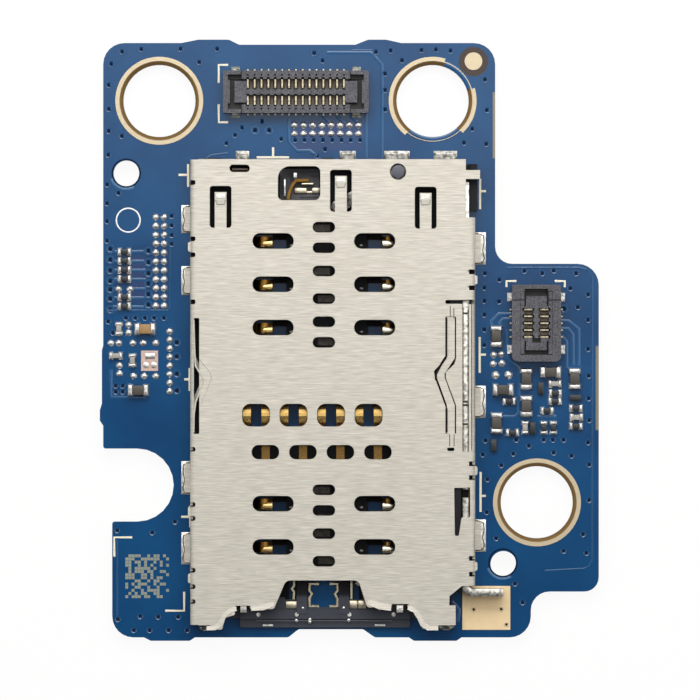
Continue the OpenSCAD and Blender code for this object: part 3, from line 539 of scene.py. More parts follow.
def shell_steel():
    """Rolled stainless sheet with a fine grain across the width."""
    steel = Finish("rolled_shell_steel", Metallic=1.0)
    grain = steel.noise(1.0, 2.0, (1.0, 14, 3))
    streak = steel.noise(1.0, 2.0, (0.3, 8, 2), (3, 7, 0))
    smear = steel.noise(0.3, 2.0)
    tone = steel.mix(steel.ramp(grain, 0.3, 0.7), paint(194, 190, 181), paint(227, 223, 215))
    tone = steel.mix(steel.ramp(streak, 0.35, 0.75) * 0.3, tone, paint(202, 197, 186))
    tone = steel.mix(smear * 0.2, tone, paint(204, 197, 182))
    steel.feed("Base Color", tone)
    steel.feed("Roughness", 0.54 + grain * 0.1 + streak * 0.05)
    steel.bump(grain + streak * 0.5, 0.003, 0.5)
    return steel


def tin(name="reflowed_tin", low=paint(172, 172, 174), high=paint(244, 242, 238)):
    """Bright reflowed solder, slightly wavy."""
    metal = Finish(name, Metallic=1.0)
    wave = metal.noise(4.0, 3.0)
    speck = metal.noise(18.0, 2.0)
    metal.feed("Base Color", metal.mix(metal.ramp(wave, 0.3, 0.65), low, high))
    metal.feed("Roughness", 0.28 + speck * 0.22)
    metal.bump(wave, 0.05, 0.8)
    return metal


def ejector_steel():
    """Plain stainless strip with a light mottle."""
    metal = Finish("ejector_steel", Metallic=1.0)
    mottle = metal.noise(4.2, 4.0)
    grain = metal.noise(1.0, 2.0, (9, 1.2, 4))
    tone = metal.mix(metal.ramp(mottle, 0.36, 0.6), paint(142, 139, 134), paint(240, 238, 230))
    metal.feed("Base Color", tone)
    metal.feed("Roughness", 0.26 + grain * 0.14)
    metal.bump(grain, 0.004, 0.5)
    return metal


RINGS = ("mount_ring_upper_left", "mount_ring_upper_right", "mount_ring_lower_right")
FLANGE_W = 0.26


def ring_circle(ring):
    """Centre and radius of a flange, whose lower side may be missing."""
    low, high = box_mm(ring)
    radius = (high.x - low.x) / 2
    return Vector((low.x + radius, high.y - radius, BOARD_TOP)), radius


def gold_plating(name="gold_plating", metallic=0.8, low=paint(200, 185, 156), high=paint(217, 202, 174)):
    """Soft gold on the pads and flanges, with painted shade: brown down the bevels and walls of the holes,
    darker lower down.
    """
    gold = Finish(name, Metallic=metallic)
    wear = gold.noise(2.5, 3.0)
    speck = gold.noise(1.0, 2.0, (16, 5, 8))
    flat = gold.mix(wear, low, high)
    # Painted shade: brown walls inside the holes, darker lower down, also on the bevel inside each flange
    wall = gold.mix(gold.ramp(gold.z, 0.4, 0.75), paint(96, 72, 38), paint(146, 116, 70))
    share = gold.ramp(gold.z, BOARD_TOP + 0.012, BOARD_TOP - 0.004)
    for ring in RINGS:
        centre, radius = ring_circle(ring)
        share = share.sum("MAXIMUM", share, gold.near(centre, radius - FLANGE_W, 0.02))
    gold.feed("Base Color", gold.mix(share, flat, wall))
    gold.feed("Roughness", 0.44 + speck * 0.14)
    gold.bump(speck, 0.004, 0.4)
    return gold


ROOTS_PX = ((190, 440), (480, 474))
MEMORY_PX = ((190, 396), (480, 440))


def contact_gold():
    """Gold spring strip, with painted shade: the parts that lie down in the floor are painted dark, golden
    brown at the roots.
    """
    gold = Finish("contact_gold", Metallic=1.0)
    wear = gold.noise(3.0, 3.0)
    bright = gold.mix(wear, paint(206, 158, 76), paint(244, 212, 142))
    memory = gold.within(*flat(MEMORY_PX), 0.02)
    bright = gold.mix(memory, gold.mix(wear, paint(104, 72, 28), paint(170, 128, 62)), bright)
    # Painted shade: near-black for the parts that lie down in the floor under the roof
    painted_shade = gold.mix(wear, paint(34, 33, 34), paint(96, 92, 86))
    roots = gold.within(*flat(ROOTS_PX), 0.02)
    painted_shade = gold.mix(roots * 0.8, painted_shade, paint(170, 132, 72))
    lifted = gold.ramp(gold.z, FLOOR_TOP + 0.01, FLOOR_TOP + 0.06)
    gold.feed("Base Color", gold.mix(lifted, painted_shade, bright))
    gold.feed("Roughness", 0.2 + wear * 0.16)
    gold.bump(wear, 0.006, 0.4)
    return gold


def worn(name, scale, low, high, rough, vary, depth, strength, **constants):
    """Surface that wears unevenly from one colour to the other."""
    skin = Finish(name, **constants)
    wear = skin.noise(scale, 3.0)
    skin.feed("Base Color", skin.mix(wear, low, high))
    skin.feed("Roughness", rough + wear * vary)
    skin.bump(wear, depth, strength)
    return skin


def pin_gold(name, low, high):
    """Pale gold of the fine connector pins."""
    return worn(name, 4.0, low, high, 0.22, 0.15, 0.005, 0.4, Metallic=1.0)


def ink(name, low, high):
    """Screen-printed ink, a little uneven."""
    return worn(name, 9.0, low, high, 0.5, 0.2, 0.006, 0.5, IOR=1.5)


def moulding(name, dark, light, rough, shine=0.5):
    """Moulded plastic with a fine spark-eroded grain."""
    plastic = Finish(name, IOR=1.5, Specular_IOR_Level=shine)
    grain = plastic.noise(12.0, 3.0)
    cloud = plastic.noise(0.8, 2.0)
    tone = plastic.mix(grain * 0.6 + cloud * 0.4, dark, light)
    plastic.feed("Base Color", tone)
    plastic.feed("Roughness", rough + grain * 0.15)
    plastic.bump(grain, 0.008, 0.5)
    return plastic


# Zone of the mouth where the base takes its lit copy; everywhere else it takes the painted-shade copy
MOUTH_LIT_ZONE_PX = ((225, 596), (430, 640))


def base_plastic():
    """Black base moulding as a lit copy and a shaded copy: painted light with a sheen on the bar in the
    mouth, and painted shade, duller and darker, under the roof.
    """
    plastic = moulding("black_base_moulding", paint(28, 32, 40), paint(58, 63, 76), 0.42)
    # Shaded copy of the moulding: painted shade for all of the base outside the mouth
    painted_shade = plastic.tree.nodes.new("ShaderNodeBsdfPrincipled")
    painted_shade.inputs["Specular IOR Level"].default_value = 0.15
    grain = plastic.noise(9.0, 3.0, (1, 1, 1), (5, 3, 0))
    plastic.join(painted_shade.inputs["Base Color"], plastic.mix(grain, paint(14, 14, 17), paint(40, 41, 46)))
    plastic.join(painted_shade.inputs["Roughness"], 0.5 + grain * 0.2)
    plastic.blend(plastic.within(*flat(MOUTH_LIT_ZONE_PX)), painted_shade, plastic.shader)
    return plastic


def housing_plastic():
    """Charcoal connector moulding, with painted shade: dark brown down in its pockets."""
    plastic = Finish("charcoal_housing", IOR=1.5)
    grain = plastic.noise(12.0, 3.0)
    cloud = plastic.noise(0.8, 2.0)
    tone = plastic.mix(plastic.ramp(grain * 0.8 + cloud * 0.2, 0.34, 0.66), paint(46, 46, 52),
                       paint(98, 98, 106))
    # Painted shade: dark brown below the top, down in the pockets
    pocket_shade = plastic.ramp(plastic.z, HOUSING_TOP - 0.16, HOUSING_TOP - 0.24)
    plastic.feed("Base Color", plastic.mix(pocket_shade * 0.9, tone, paint(20, 17, 16)))
    plastic.feed("Roughness", 0.4 + grain * 0.15)
    plastic.bump(grain, 0.008, 0.5)
    return plastic


TAN_PX = (148.5, 329)
TAN_REACH = 0.9


def ceramic(name, dark, light, rough=0.4, tan=None):
    """Fired chip body with a speckled skin; tan is the pair of colours of the large one on the left."""
    body = Finish(name, IOR=1.55)
    speck = body.noise(16.0, 3.0)
    cloud = body.noise(1.4, 2.0)
    share = speck * 0.5 + cloud * 0.5
    tone = body.mix(share, dark, light)
    if tan:
        tone = body.mix(body.near(spot(*TAN_PX), TAN_REACH), tone, body.mix(share, *tan))
    body.feed("Base Color", tone)
    body.feed("Roughness", rough + speck * 0.15)
    body.bump(speck, 0.006, 0.5)
    return body


MASK = solder_mask()
MASK_RAISED = solder_mask("blue_mask_over_track", 0.16)
MASK_RIM = solder_mask("blue_mask_via_rim", 0.1)
MASK_EDGE = solder_mask("blue_mask_plane_edge", 0.06)
MASK_HALO = solder_mask("blue_mask_hole_halo", 0.5)
STEEL = shell_steel()
TIN = tin()
GREY_TIN = tin("dull_solder", paint(70, 76, 72), paint(168, 170, 162))
EJECTOR = ejector_steel()
GOLD = gold_plating()
PAD = gold_plating("matt_pad_gold", 0.25, paint(232, 205, 159), paint(242, 217, 176))
CONTACT = contact_gold()
PIN = pin_gold("pin_gold", paint(220, 204, 168), paint(250, 242, 222))
CROWN_GOLD = pin_gold("crown_gold", paint(226, 186, 108), paint(252, 228, 168))
# Paler gold for the right-hand crowns: painted highlight
CROWN_HIGHLIGHT_GOLD = pin_gold("crown_gold_painted_highlight", paint(248, 236, 206), paint(254, 250, 238))
COPPER = worn("bare_copper", 5.0, paint(188, 158, 148), paint(222, 200, 190), 0.4, 0.15, 0.006, 0.5,
              Metallic=0.6)
BASE = base_plastic()
HOUSING = housing_plastic()
# Charcoal of the pivot post, also used as a painted highlight on the mouth bar
POST_AND_HIGHLIGHT = moulding("charcoal_post_and_bar_highlight", paint(66, 67, 76), paint(98, 99, 110), 0.4)
# Grey copy of the black base, lighter as painted light, for the floor of the shaded switch bay
BAY_PAINTED_LIGHT = moulding("switch_floor_painted_light", paint(48, 48, 54), paint(84, 84, 92), 0.4)
COMB = moulding("brown_comb", paint(52, 45, 36), paint(92, 81, 66), 0.45)
# Near-black finish for plates and dishes that stand in for shade: painted shade in bays, notches, gaps,
# voids and via holes
SHADE_BLACK = moulding("painted_shade_black", paint(16, 14, 16), paint(32, 28, 28), 0.6, 0.1)
LAND_TIN = tin("land_solder", paint(204, 202, 196), paint(244, 242, 236))
# Near-white steel for the tab ends: painted highlight
ROLL_HIGHLIGHT = tin("painted_highlight_roll", paint(236, 234, 228), paint(252, 250, 246))
# Grey for the tab facets: painted shade
FACET_SHADE = moulding("painted_shade_tab_facet", paint(176, 173, 165), paint(198, 195, 188), 0.5)
BACK_TIN = tin("back_land_solder", paint(84, 84, 84), paint(186, 184, 178))
# Dark lines: real flux round the feet, painted shade along the creases and seam of the right leaf, and the
# dark lines at the rod's shoulders
FLUX_AND_SHADE = moulding("dark_flux_and_shade_line", paint(42, 38, 34), paint(84, 78, 68), 0.5)
DISH = moulding("dark_via_dish", paint(2, 20, 44), paint(6, 34, 66), 0.6, 0.1)
CODE = moulding("etched_code_square", paint(110, 118, 112), paint(160, 164, 148), 0.5)
GREY_CHIP = ceramic("grey_chip_ceramic", paint(44, 41, 39), paint(84, 78, 72))
BLACK_CHIP = ceramic("black_chip_coat", paint(16, 16, 20), paint(52, 54, 60), 0.32)
TAN_CHIP = ceramic("tan_chip_ceramic", paint(112, 108, 102), paint(200, 196, 188),
                   tan=(paint(124, 92, 52), paint(178, 142, 92)))
INK = ink("cream_ink", paint(226, 218, 192), paint(246, 240, 222))
WHITE_INK = ink("white_ink", paint(232, 232, 230), paint(250, 250, 250))
# Darker steel for the tab creases: painted shade
CREASE_SHADE = moulding("painted_shade_crease", paint(140, 134, 124), paint(172, 166, 154), 0.5)

NODE_FINISH = {
    "board": MASK, "mount_ring_upper_left": GOLD, "mount_ring_upper_right": GOLD,
    "mount_ring_lower_right": GOLD, "ground_pad": PAD, "fiducial_dot": GOLD,
    "solder_lands": LAND_TIN, "solder_domes": TIN, "copper_land": COPPER, "socket_base": BASE,
    "left_rail": BASE, "right_rail": BASE, "back_wall": BASE, "rod_guide": BASE,
    "pivot_post": POST_AND_HIGHLIGHT, "shell_roof": STEEL, "shell_left_side": STEEL,
    "shell_right_side": STEEL, "shell_back_feet": BACK_TIN, "right_leaf_spring": STEEL,
    "eject_rod": EJECTOR, "eject_lever": EJECTOR, "detect_spring": CONTACT,
    "detect_plate": PIN, "detect_posts": TIN, "carrier_stubs": TIN, "main_housing": HOUSING,
    "main_contacts_rear": PIN, "main_contacts_front": PIN, "main_anchors": GREY_TIN,
    "small_housing": HOUSING, "small_contacts_left": PIN, "small_contacts_right": PIN,
    "small_anchors": TIN, "large_chip_bodies": GREY_CHIP, "small_chip_bodies": BLACK_CHIP,
    "tan_chip_bodies": TAN_CHIP, "bare_chips": BLACK_CHIP, "chip_end_caps": TIN,
}
for name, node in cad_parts.items():
    finish = NODE_FINISH.get(name, CONTACT)
    node.data.materials.clear()
    node.data.materials.append(finish.material)

# Broken edges on the hard-edged mouldings, chips and ejector parts
SOFT_EDGES = [
    ("large_chip_bodies", 0.03, "chip_grey", BOARD),
    ("small_chip_bodies", 0.025, "chip_black", BOARD),
    ("tan_chip_bodies", 0.03, "chip_tan", BOARD),
    ("bare_chips", 0.03, "chip_black", BOARD),
    ("chip_end_caps", 0.035, "solder_tin", BOARD),
    ("eject_rod", 0.03, "ejector_steel", ROD),
    ("eject_lever", 0.04, "ejector_steel", LEVER),
    ("left_rail", 0.05, "socket_plastic", BOARD),
    ("right_rail", 0.05, "socket_plastic", BOARD),
    ("pivot_post", 0.05, "socket_plastic", BOARD),
    ("detect_posts", 0.02, "ejector_steel", BOARD),
    ("detect_plate", 0.02, "contact_gold", BOARD),
]
for node, width, slot, body in SOFT_EDGES:
    deliver(softened(node, width), node + "_eased", slot, NODE_FINISH[node], body=body)

# Board connectors: pockets at the pins, slits at the end frames, and combs between the pins
PIN_PITCH = 0.404
RAIL_T = 0.5
ISLAND_HALF = 0.19
PIN_W = 0.11
POCKET = 0.085
SLIT = 0.05
GROOVE_DEPTH = 0.4
HOUSING_EDGE = 0.04
OVER = 0.1
POCKET_DEPTH = 0.5
ISLAND_DEPTH = 0.4
PIT_DEPTH = 0.2
PIT_HALF = 0.05
PIT_IN = (0.21, 0.31)
SLIT_DEPTH = 0.25
LINER_RUN = 0.62
TOOTH_HALF = 0.1
TOOTH_LEVELS = (0.14, 0.44)


def corner_tool(place, inward, radius, low_z, high_z):
    """Cutter that rounds one upright corner of a housing; inward says which way the body lies."""
    corner = Vector((*place, 0))
    across = Vector((*inward, 0))
    ends = (corner - across * 0.2 + Vector((0, 0, low_z)), corner + across * radius + Vector((0, 0, high_z)))
    tool = block_start([min(pair) for pair in zip(*ends)], [max(pair) for pair in zip(*ends)])
    rod = round_start(32, radius, high_z - low_z + 0.4, low_z - 0.2)
    shift(rod, corner + across * radius)
    cut_away([tool], [rod])
    return tool


def connector(label, pin_nodes, pins, turned, slits, grooves, corners=0.0, liner=0.0):
    """Detailed housing and comb of one connector; u runs along its pins and v across them."""
    node = label + "_housing"
    low, high = box_mm(node)
    middle = (low + high) / 2
    half = (high.x - low.x if turned else high.y - low.y) / 2
    top = high.z

    def at(u, v, z=0.0):
        return Vector((middle.x - v, middle.y + u, z)) if turned else \
            Vector((middle.x + u, middle.y + v, z))

    def bar(us, vs, zs):
        ends = [at(u, v, z) for u, v, z in zip(us, vs, zs)]
        return block_start([min(pair) for pair in zip(*ends)], [max(pair) for pair in zip(*ends)])

    body = softened(node, HOUSING_EDGE)
    inner = half - RAIL_T - liner
    row = [(i - (pins - 1) / 2) * PIN_PITCH for i in range(pins)]
    tools = []
    walls = []
    if liner:
        run = row[-1] + PIN_PITCH + LINER_RUN
        walls = [bar((-run, run), (side * inner, side * (half - RAIL_T - 0.004)),
                     (BOARD_TOP + 0.1, top - 0.004)) for side in (-1, 1)]
        for wall in walls:
            bevel(wall, 0.03)
    if corners:
        tools += [corner_tool((x, low.y), (inward, 1), corners, low.z - OVER, high.z + OVER)
                  for x, inward in ((low.x, 1), (high.x, -1))]
    for side in (-1, 1):
        for u in row:
            across = (u - POCKET, u + POCKET)
            tools.append(bar(across, (side * (inner - 0.02), side * (inner + 0.11)),
                             (top - POCKET_DEPTH, top + OVER)))
            tools.append(bar((u - PIT_HALF, u + PIT_HALF), [side * (half - v) for v in PIT_IN],
                             (top - PIT_DEPTH, top + OVER)))
            tools.append(bar(across, (side * (ISLAND_HALF - 0.07), side * (ISLAND_HALF + 0.02)),
                             (top - ISLAND_DEPTH, top + OVER)))
        for u in slits:
            tools.append(bar((u - SLIT / 2, u + SLIT / 2), (side * (inner - 0.1), side * (half + 0.1)),
                             (top - SLIT_DEPTH, top + OVER)))
    cut_away([body] + walls, tools)
    for low_u, high_u, low_v, high_v in grooves:
        cut_away([body] + walls, [bar((low_u, high_u), (low_v, high_v), (top - GROOVE_DEPTH, top + OVER))])
    body = join([body] + walls)
    deliver(body, node + "_pocketed", "connector_plastic", HOUSING, smooth=0)

    reach = (inner - ISLAND_HALF + 0.02) / 2
    tooth = bar((-TOOTH_HALF, TOOTH_HALF), (-reach, reach), [BOARD_TOP + z for z in TOOTH_LEVELS])
    shift(tooth, -middle.xy.to_3d())
    bevel(tooth, 0.03, 1)
    gaps = [u - PIN_PITCH / 2 for u in row] + [row[-1] + PIN_PITCH / 2]
    places = [at(u, side * (inner + ISLAND_HALF) / 2) for u in gaps for side in (-1, 1)]
    deliver(spread(tooth, places), label + "_comb", "connector_plastic", COMB)

    def pin(side):
        """One contact at the origin: tail on the board, shelf between the teeth, and its crest."""
        def strip(vs, zs):
            return bar((-PIN_W / 2, PIN_W / 2), (side * vs[0], side * vs[1]),
                       (BOARD_TOP + zs[0], BOARD_TOP + zs[1]))
        made = join([strip((ISLAND_HALF + 0.03, half + 0.12), (0, 0.12)),
                     strip((ISLAND_HALF + 0.03, inner + 0.02), (0.1, 0.5)),
                     strip((ISLAND_HALF + 0.1, ISLAND_HALF + 0.36), (0.48, 0.58))])
        shift(made, -middle.xy.to_3d())
        bevel(made, 0.02, 1)
        return made

    for side, far in ((1, pin_nodes[0]), (-1, pin_nodes[1])):
        contacts = spread(pin(side), [at(u, 0) for u in row])
        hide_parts(far)
        deliver(contacts, far + "_slim", "contact_gold", PIN)
    return at, row, half, top


MAIN_GROOVES = [(u, u + 0.78, v, v + 0.34) for u in (-4.0, 3.22) for v in (-1.02, 0.68)]
SMALL_GROOVES = [(1.66, 2.02, -0.68, 0.68), (-1.15, -0.88, -0.25, 0.25), (-1.8, -1.72, -0.7, 0.7)]
SMALL_GROOVES += [(u, u + run, v, v + 0.09) for u, run in ((1.0, 0.7), (-1.76, 0.72)) for v in (-0.7, 0.61)]
connector("main", ("main_contacts_rear", "main_contacts_front"), 15, False, (-3.2, 3.2), MAIN_GROOVES)
SMALL_AT, SMALL_ROW, SMALL_HALF, SMALL_TOP = connector(
    "small", ("small_contacts_left", "small_contacts_right"), 5, True, (1.36,), SMALL_GROOVES, 0.36, 0.24)

# Bright pin tips that show in the pits of the short connector
tips = [SMALL_AT(u, v) for u in SMALL_ROW
        for v in (0.265 - SMALL_HALF, SMALL_HALF - 0.265)]
deliver(spread(dome(0.13, 0.13, 0.05, SMALL_TOP - 0.1, 8), tips), "small_pin_tips",
        "contact_gold", PIN)

# Rolled edges of the sheet round the roof and its windows
ROLL = 0.034


def rolled_edges():
    piece = copy_of("shell_roof")
    left, right = box_mm("shell_roof")[0].x, box_mm("shell_roof")[1].x
    pick(piece, lambda c, n: not (n.z > 0.9 and c.z > ROOF_TOP - 0.005))
    bpy.ops.mesh.delete(type="FACE")
    bpy.ops.mesh.select_mode(type="EDGE")
    bpy.ops.mesh.select_all(action="DESELECT")
    bpy.ops.mesh.select_non_manifold(
        extend=False, use_wire=False, use_boundary=True, use_multi_face=False,
        use_non_contiguous=False, use_verts=False)
    bpy.ops.mesh.select_all(action="INVERT")
    object_mode()
    points = piece.data.vertices
    for edge in piece.data.edges:
        ends = [points[i].co.x for i in edge.vertices]
        on_seam = any(all(abs(x - seam) < 0.01 for x in ends) for seam in (left, right))
        if on_seam:
            edge.select = True
    edit_mode()
    bpy.ops.mesh.delete(type="EDGE")
    select_all()
    bpy.ops.mesh.delete(type="ONLY_FACE")
    object_mode()
    bpy.ops.object.convert(target="CURVE")
    piece = bpy.context.object
    piece.data.bevel_depth = ROLL
    piece.data.bevel_resolution = 1
    bpy.ops.object.convert(target="MESH")
    piece = bpy.context.object
    piece.location = (0, 0, 0.006 - ROLL)
    return piece


deliver(rolled_edges(), "rolled_sheet_edges", "shell_steel", STEEL, smooth=60)

# Vias: a low rim of mask round a sloped, dark dish
VIA_R = 0.2
VIA_RISE = 0.034
VIA_SMOOTH = 14
VIAS_PX = [
    (121.8, 51.4), (141, 49), (180.3, 48.7), (217, 48.7), (199, 62), (111, 63.7), (108.4, 85),
    (108.7, 109), (108.4, 131), (121.7, 136), (108, 154.8), (314.2, 53), (322.5, 60.5),
    (376, 51.8), (390.6, 50.6), (402, 60.3), (421.5, 50), (436, 49.4), (450.6, 50.6),
    (385, 73.6), (385, 90), (385, 109.4), (485, 79.4), (487, 110), (486.3, 144),
    (472.4, 128.8), (464, 142.7), (262, 121), (242, 127.5), (235, 135), (226.3, 143.2),
    (281, 139), (325, 149.2), (316.8, 155.7), (106.8, 184.5), (118.2, 193), (106.8, 203.4),
    (106.8, 221.3), (106.8, 240.8), (108, 321.6), (112.6, 333), (117, 530.6), (152, 532.8),
    (174.8, 522), (140, 616.6), (158, 617.2), (178, 617.2), (117.6, 619.6), (133.6, 630.6),
    (149.4, 630.6), (168.5, 630.6), (187, 630.6), (499.4, 279.8), (485, 273.4), (484.4, 287.8),
    (499.4, 301.6), (524.6, 271), (542.4, 273.4), (553.9, 270.6), (576.3, 273.4),
    (570.5, 288.4), (588.3, 294.7), (578, 307.3), (588.3, 320), (588.3, 349.2), (588.9, 376),
    (588.9, 398.6), (589.5, 420.4), (588.3, 442.8), (485.5, 440.7), (482.8, 454.8),
    (501.3, 465.5), (513.3, 454), (516.3, 440), (529, 446), (543.7, 440), (553, 440),
    (563.8, 440), (553.8, 452.8), (571.6, 456), (589.3, 464.8), (589.3, 500.3), (583.3, 534.5),
    (563.8, 551.2), (586.6, 553.2), (496.2, 538.5), (487.5, 479.6), (486.8, 512.4), (515, 584),
    (522.7, 602.8)]
VIAS_PX += [(295 + 9.3 * i, 140) for i in range(8)]
VIAS_PX += [(171.5, py) for py in (216, 225.4, 235.2, 244)]
VIAS_PX += [(px, 318) for px in (125.6, 135, 144.7, 154, 163.7)]
VIAS_PX += [(px, py) for px in (115.5, 122.5) for py in (386, 392)]
VIAS_PX += [(484.4, py) for py in (301, 314.8, 329.7, 345.2)]
RINGED_PX = [(255, 130.2), (269, 130.2), (563.8, 309)]
RINGED_PX += [(148.2, py) for py in (251, 262.5, 273.4, 283.7, 294.5, 304.8)]
RINGED_PX += [(110, py) for py in (249, 259.8, 270.6, 281, 289.6, 298.8, 309.9)]
RINGED_PX += [(176.7, py) for py in (342.6, 356.7, 374, 390.8)]
PAD_VIAS_PX = [(473.8, 609.7), (501.2, 609.5), (506.6, 624.9)]


def via(radius, rim, slope, sides, level, edge=MASK_RIM, dish=DISH):
    """Low rim with a dish in it; the dish takes the second finish."""
    piece = round_start(sides, radius, VIA_RISE, level)
    pick(piece, faces_up)
    bpy.ops.mesh.inset(thickness=rim, depth=0)
    bpy.ops.mesh.inset(thickness=slope, depth=-VIA_RISE * 0.9)
    object_mode()
    piece.data.materials.append(edge.material)
    piece.data.materials.append(dish.material)
    for face in piece.data.polygons:
        inner = face.center.xy.length < radius - rim - slope
        face.material_index = 1 if inner and face.normal.z > 0.1 else 0
    return piece


deliver(spread(via(VIA_R, 0.025, 0.06, 12, BOARD_TOP), flat(VIAS_PX)), "vias", "solder_mask",
        smooth=VIA_SMOOTH)
deliver(spread(via(0.28, 0.09, 0.06, 16, BOARD_TOP), flat(RINGED_PX)), "ringed_vias", "solder_mask",
        smooth=VIA_SMOOTH)
deliver(spread(via(0.13, 0.02, 0.04, 12, LAND_TOP, GOLD, SHADE_BLACK), flat(PAD_VIAS_PX)),
        "pad_vias", "gold_plating")

# Tracks and the edges of the copper planes, which show as ridges under the mask
TRACK_W = 0.2
TRACK_RISE = 0.02
TRACKS_PX = [
    [(327, 52.4), (370.8, 52.4), (382, 64), (382, 158)],
    [(366, 113), (366, 158)],
    [(288.5, 119), (288.5, 141), (297, 151), (309.4, 150.5), (316.6, 155.7)],
    [(322, 115), (330, 123)], [(336, 115), (344, 123)], [(350, 115), (358, 123)],
    [(110.8, 369.6), (110.8, 397), (147, 398)],
    [(512, 314), (499, 314), (491.6, 321), (491.6, 325)],
    [(512, 319), (503, 319), (500, 322.4), (500, 325)],
    [(560.5, 321), (568.7, 321), (579, 328.8), (579, 365.8)],
    [(561.7, 328.8), (568.7, 328.8), (573, 334.5), (573.6, 365)],
    [(561.7, 335.8), (566.8, 341.5), (566.8, 368)],
    [(506.9, 328.8), (506.9, 356.8), (519, 368.3), (519, 413), (514.5, 416.8), (502.4, 416.8)],
    [(537.5, 416.8), (556.6, 416.8)],
    [(452, 601.7), (459.5, 610), (458, 622)],
]
CHIP_ROWS_PX = (251.7, 261.4, 270.4, 279.5, 289, 298, 307)
TRACKS_PX += [[(131.2, py), (145.5, py)] for py in CHIP_ROWS_PX]
TRACKS_PX += [[(113, py), (117, py)] for py in CHIP_ROWS_PX]
PLANE_EDGES_PX = [
    [(107, 310.4), (168, 310.4), (170, 308), (170, 245)],
    [(507, 267.6), (580, 267.6), (588, 270), (592.5, 276), (592.5, 559), (590, 566),
     (584, 569), (545, 571)],
    [(352, 50), (372, 50)], [(117, 540), (117, 616)], [(204, 160), (211, 155), (228, 153)],
]
deliver(ridge(runs(BOARD_TOP, TRACKS_PX), TRACK_W, TRACK_RISE),
        "tracks", "solder_mask", MASK_RAISED)
deliver(ridge(runs(BOARD_TOP, PLANE_EDGES_PX), 0.1, 0.014),
        "copper_plane_edges", "solder_mask", MASK_EDGE)

# Printed marks: the outline ticks of the socket, corner brackets and a plain ring
INK_W = 0.13
INK_RISE = 0.014
MARKS_PX = [
    [(256.6, 157.2), (289, 157.2)], [(273, 147), (273, 156)],
    [(188, 164), (188, 186.6)], [(178.4, 174.7), (187, 174.7)],
    [(189.5, 368), (189.5, 391)], [(184, 379.4), (189, 379.4)],
    [(190.2, 506), (190.2, 527.5)], [(181, 517), (190, 517)],
    [(480.2, 178.7), (480.2, 209)], [(481, 191), (486, 191)],
    [(479.8, 337), (479.8, 372.7)], [(481, 354.7), (486, 354.7)],
    [(480.7, 472), (480.7, 512)], [(481, 496), (486, 496)],
    [(132, 537.6), (114, 537.6), (114, 556.6)], [(184, 592), (184, 611), (165, 611)],
    [(228, 64.6), (218.6, 64.6), (218.6, 82.5)], [(218.6, 104), (218.6, 122), (228, 122)],
    [(506.7, 287), (506.7, 281), (516.6, 281)], [(555, 281), (565, 281), (565, 287)],
]
RING_MARK_PX = (128, 220)
RING_MARK_R = 0.7
RING_MARK_SIDES = 40
marks = ridge(runs(BOARD_TOP, MARKS_PX), INK_W, INK_RISE)
ring_mark = ridge([circle(spot(*RING_MARK_PX), RING_MARK_R, RING_MARK_SIDES)], 0.08, INK_RISE, closed=True)
deliver(marks, "printed_marks", "solder_mask", INK)
deliver(ring_mark, "printed_ring", "solder_mask", WHITE_INK)

# Etched square of small seeded cells
CODE_PX = (125, 554.5, 169, 598.4)
CODE_CELLS = 14
chance = random.Random(11)


def code_square():
    low = spot(CODE_PX[0], CODE_PX[3])
    side = (CODE_PX[2] - CODE_PX[0]) / PX_PER_MM / CODE_CELLS
    cell = block_start((0, 0, BOARD_TOP - 0.005), (side * 0.96, side * 0.96, BOARD_TOP + 0.008))
    pick(cell, faces_up)
    bpy.ops.transform.resize(value=(0.9, 0.9, 1), center_override=(side / 2, side / 2, 0))
    object_mode()
    places = [Vector((low.x + side * i, low.y + side * j, 0))
              for i in range(CODE_CELLS) for j in range(CODE_CELLS) if chance.random() < 0.55]
    return spread(cell, places)


deliver(code_square(), "code_square_cells", "solder_mask", CODE)

# Solder: fillets round the chip ends, and pillows on the lands of the shell feet
FILLET_OUT = 0.09


def fillets():
    made = []
    for low, high in loose_boxes("chip_end_caps"):
        out = Vector((FILLET_OUT, FILLET_OUT, 0))
        top = low.z + (high.z - low.z) * 0.55
        piece = block_start(low - out, Vector((high.x, high.y, top)) + out)
        pick(piece, faces_up)
        middle = (low + high) / 2
        wide = high - low + 2 * out
        close = ((wide.x - 1.7 * FILLET_OUT) / wide.x, (wide.y - 1.7 * FILLET_OUT) / wide.y, 1)
        bpy.ops.transform.resize(value=close, center_override=middle)
        object_mode()
        made.append(piece)
    piece = join(made)
    bevel(piece, 0.03, 2, 20)
    return piece


deliver(fillets(), "chip_solder_fillets", "solder_tin", TIN, smooth=60)


def pillows():
    """Lands with their solder; the two in the mouth lie under contact frames of their own."""
    made = []
    for low, high in loose_boxes("solder_lands"):
        in_mouth = MOUTH_LOW.y < low.y < MOUTH_HIGH.y and MOUTH_LOW.x < low.x < MOUTH_HIGH.x
        if in_mouth:
            continue
        made.append(block_start(low, high))
        piece = block_start(low + Vector((0.08, 0.08, 0)), high + Vector((-0.08, -0.08, 0.04)))
        pick(piece, faces_up)
        bpy.ops.mesh.inset(thickness=0.07, depth=0.03)
        object_mode()
        made.append(piece)
    piece = join(made)
    bevel(piece, 0.02, 2, 20)
    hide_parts("solder_lands")
    piece.data.materials.clear()
    for finish in (LAND_TIN, BACK_TIN):
        piece.data.materials.append(finish.material)
    for face in piece.data.polygons:
        face.material_index = 1 if face.center.y > BACK_LANDS.y else 0
    return piece


MOUTH_LOW = spot(280, 624)
MOUTH_HIGH = spot(368, 575)
BACK_LANDS = spot(330, 166)
deliver(pillows(), "land_solder_pillows", "solder_tin", smooth=60)

# Wavy flux lines round the feet on the side lands
FLUX_IN = 0.1


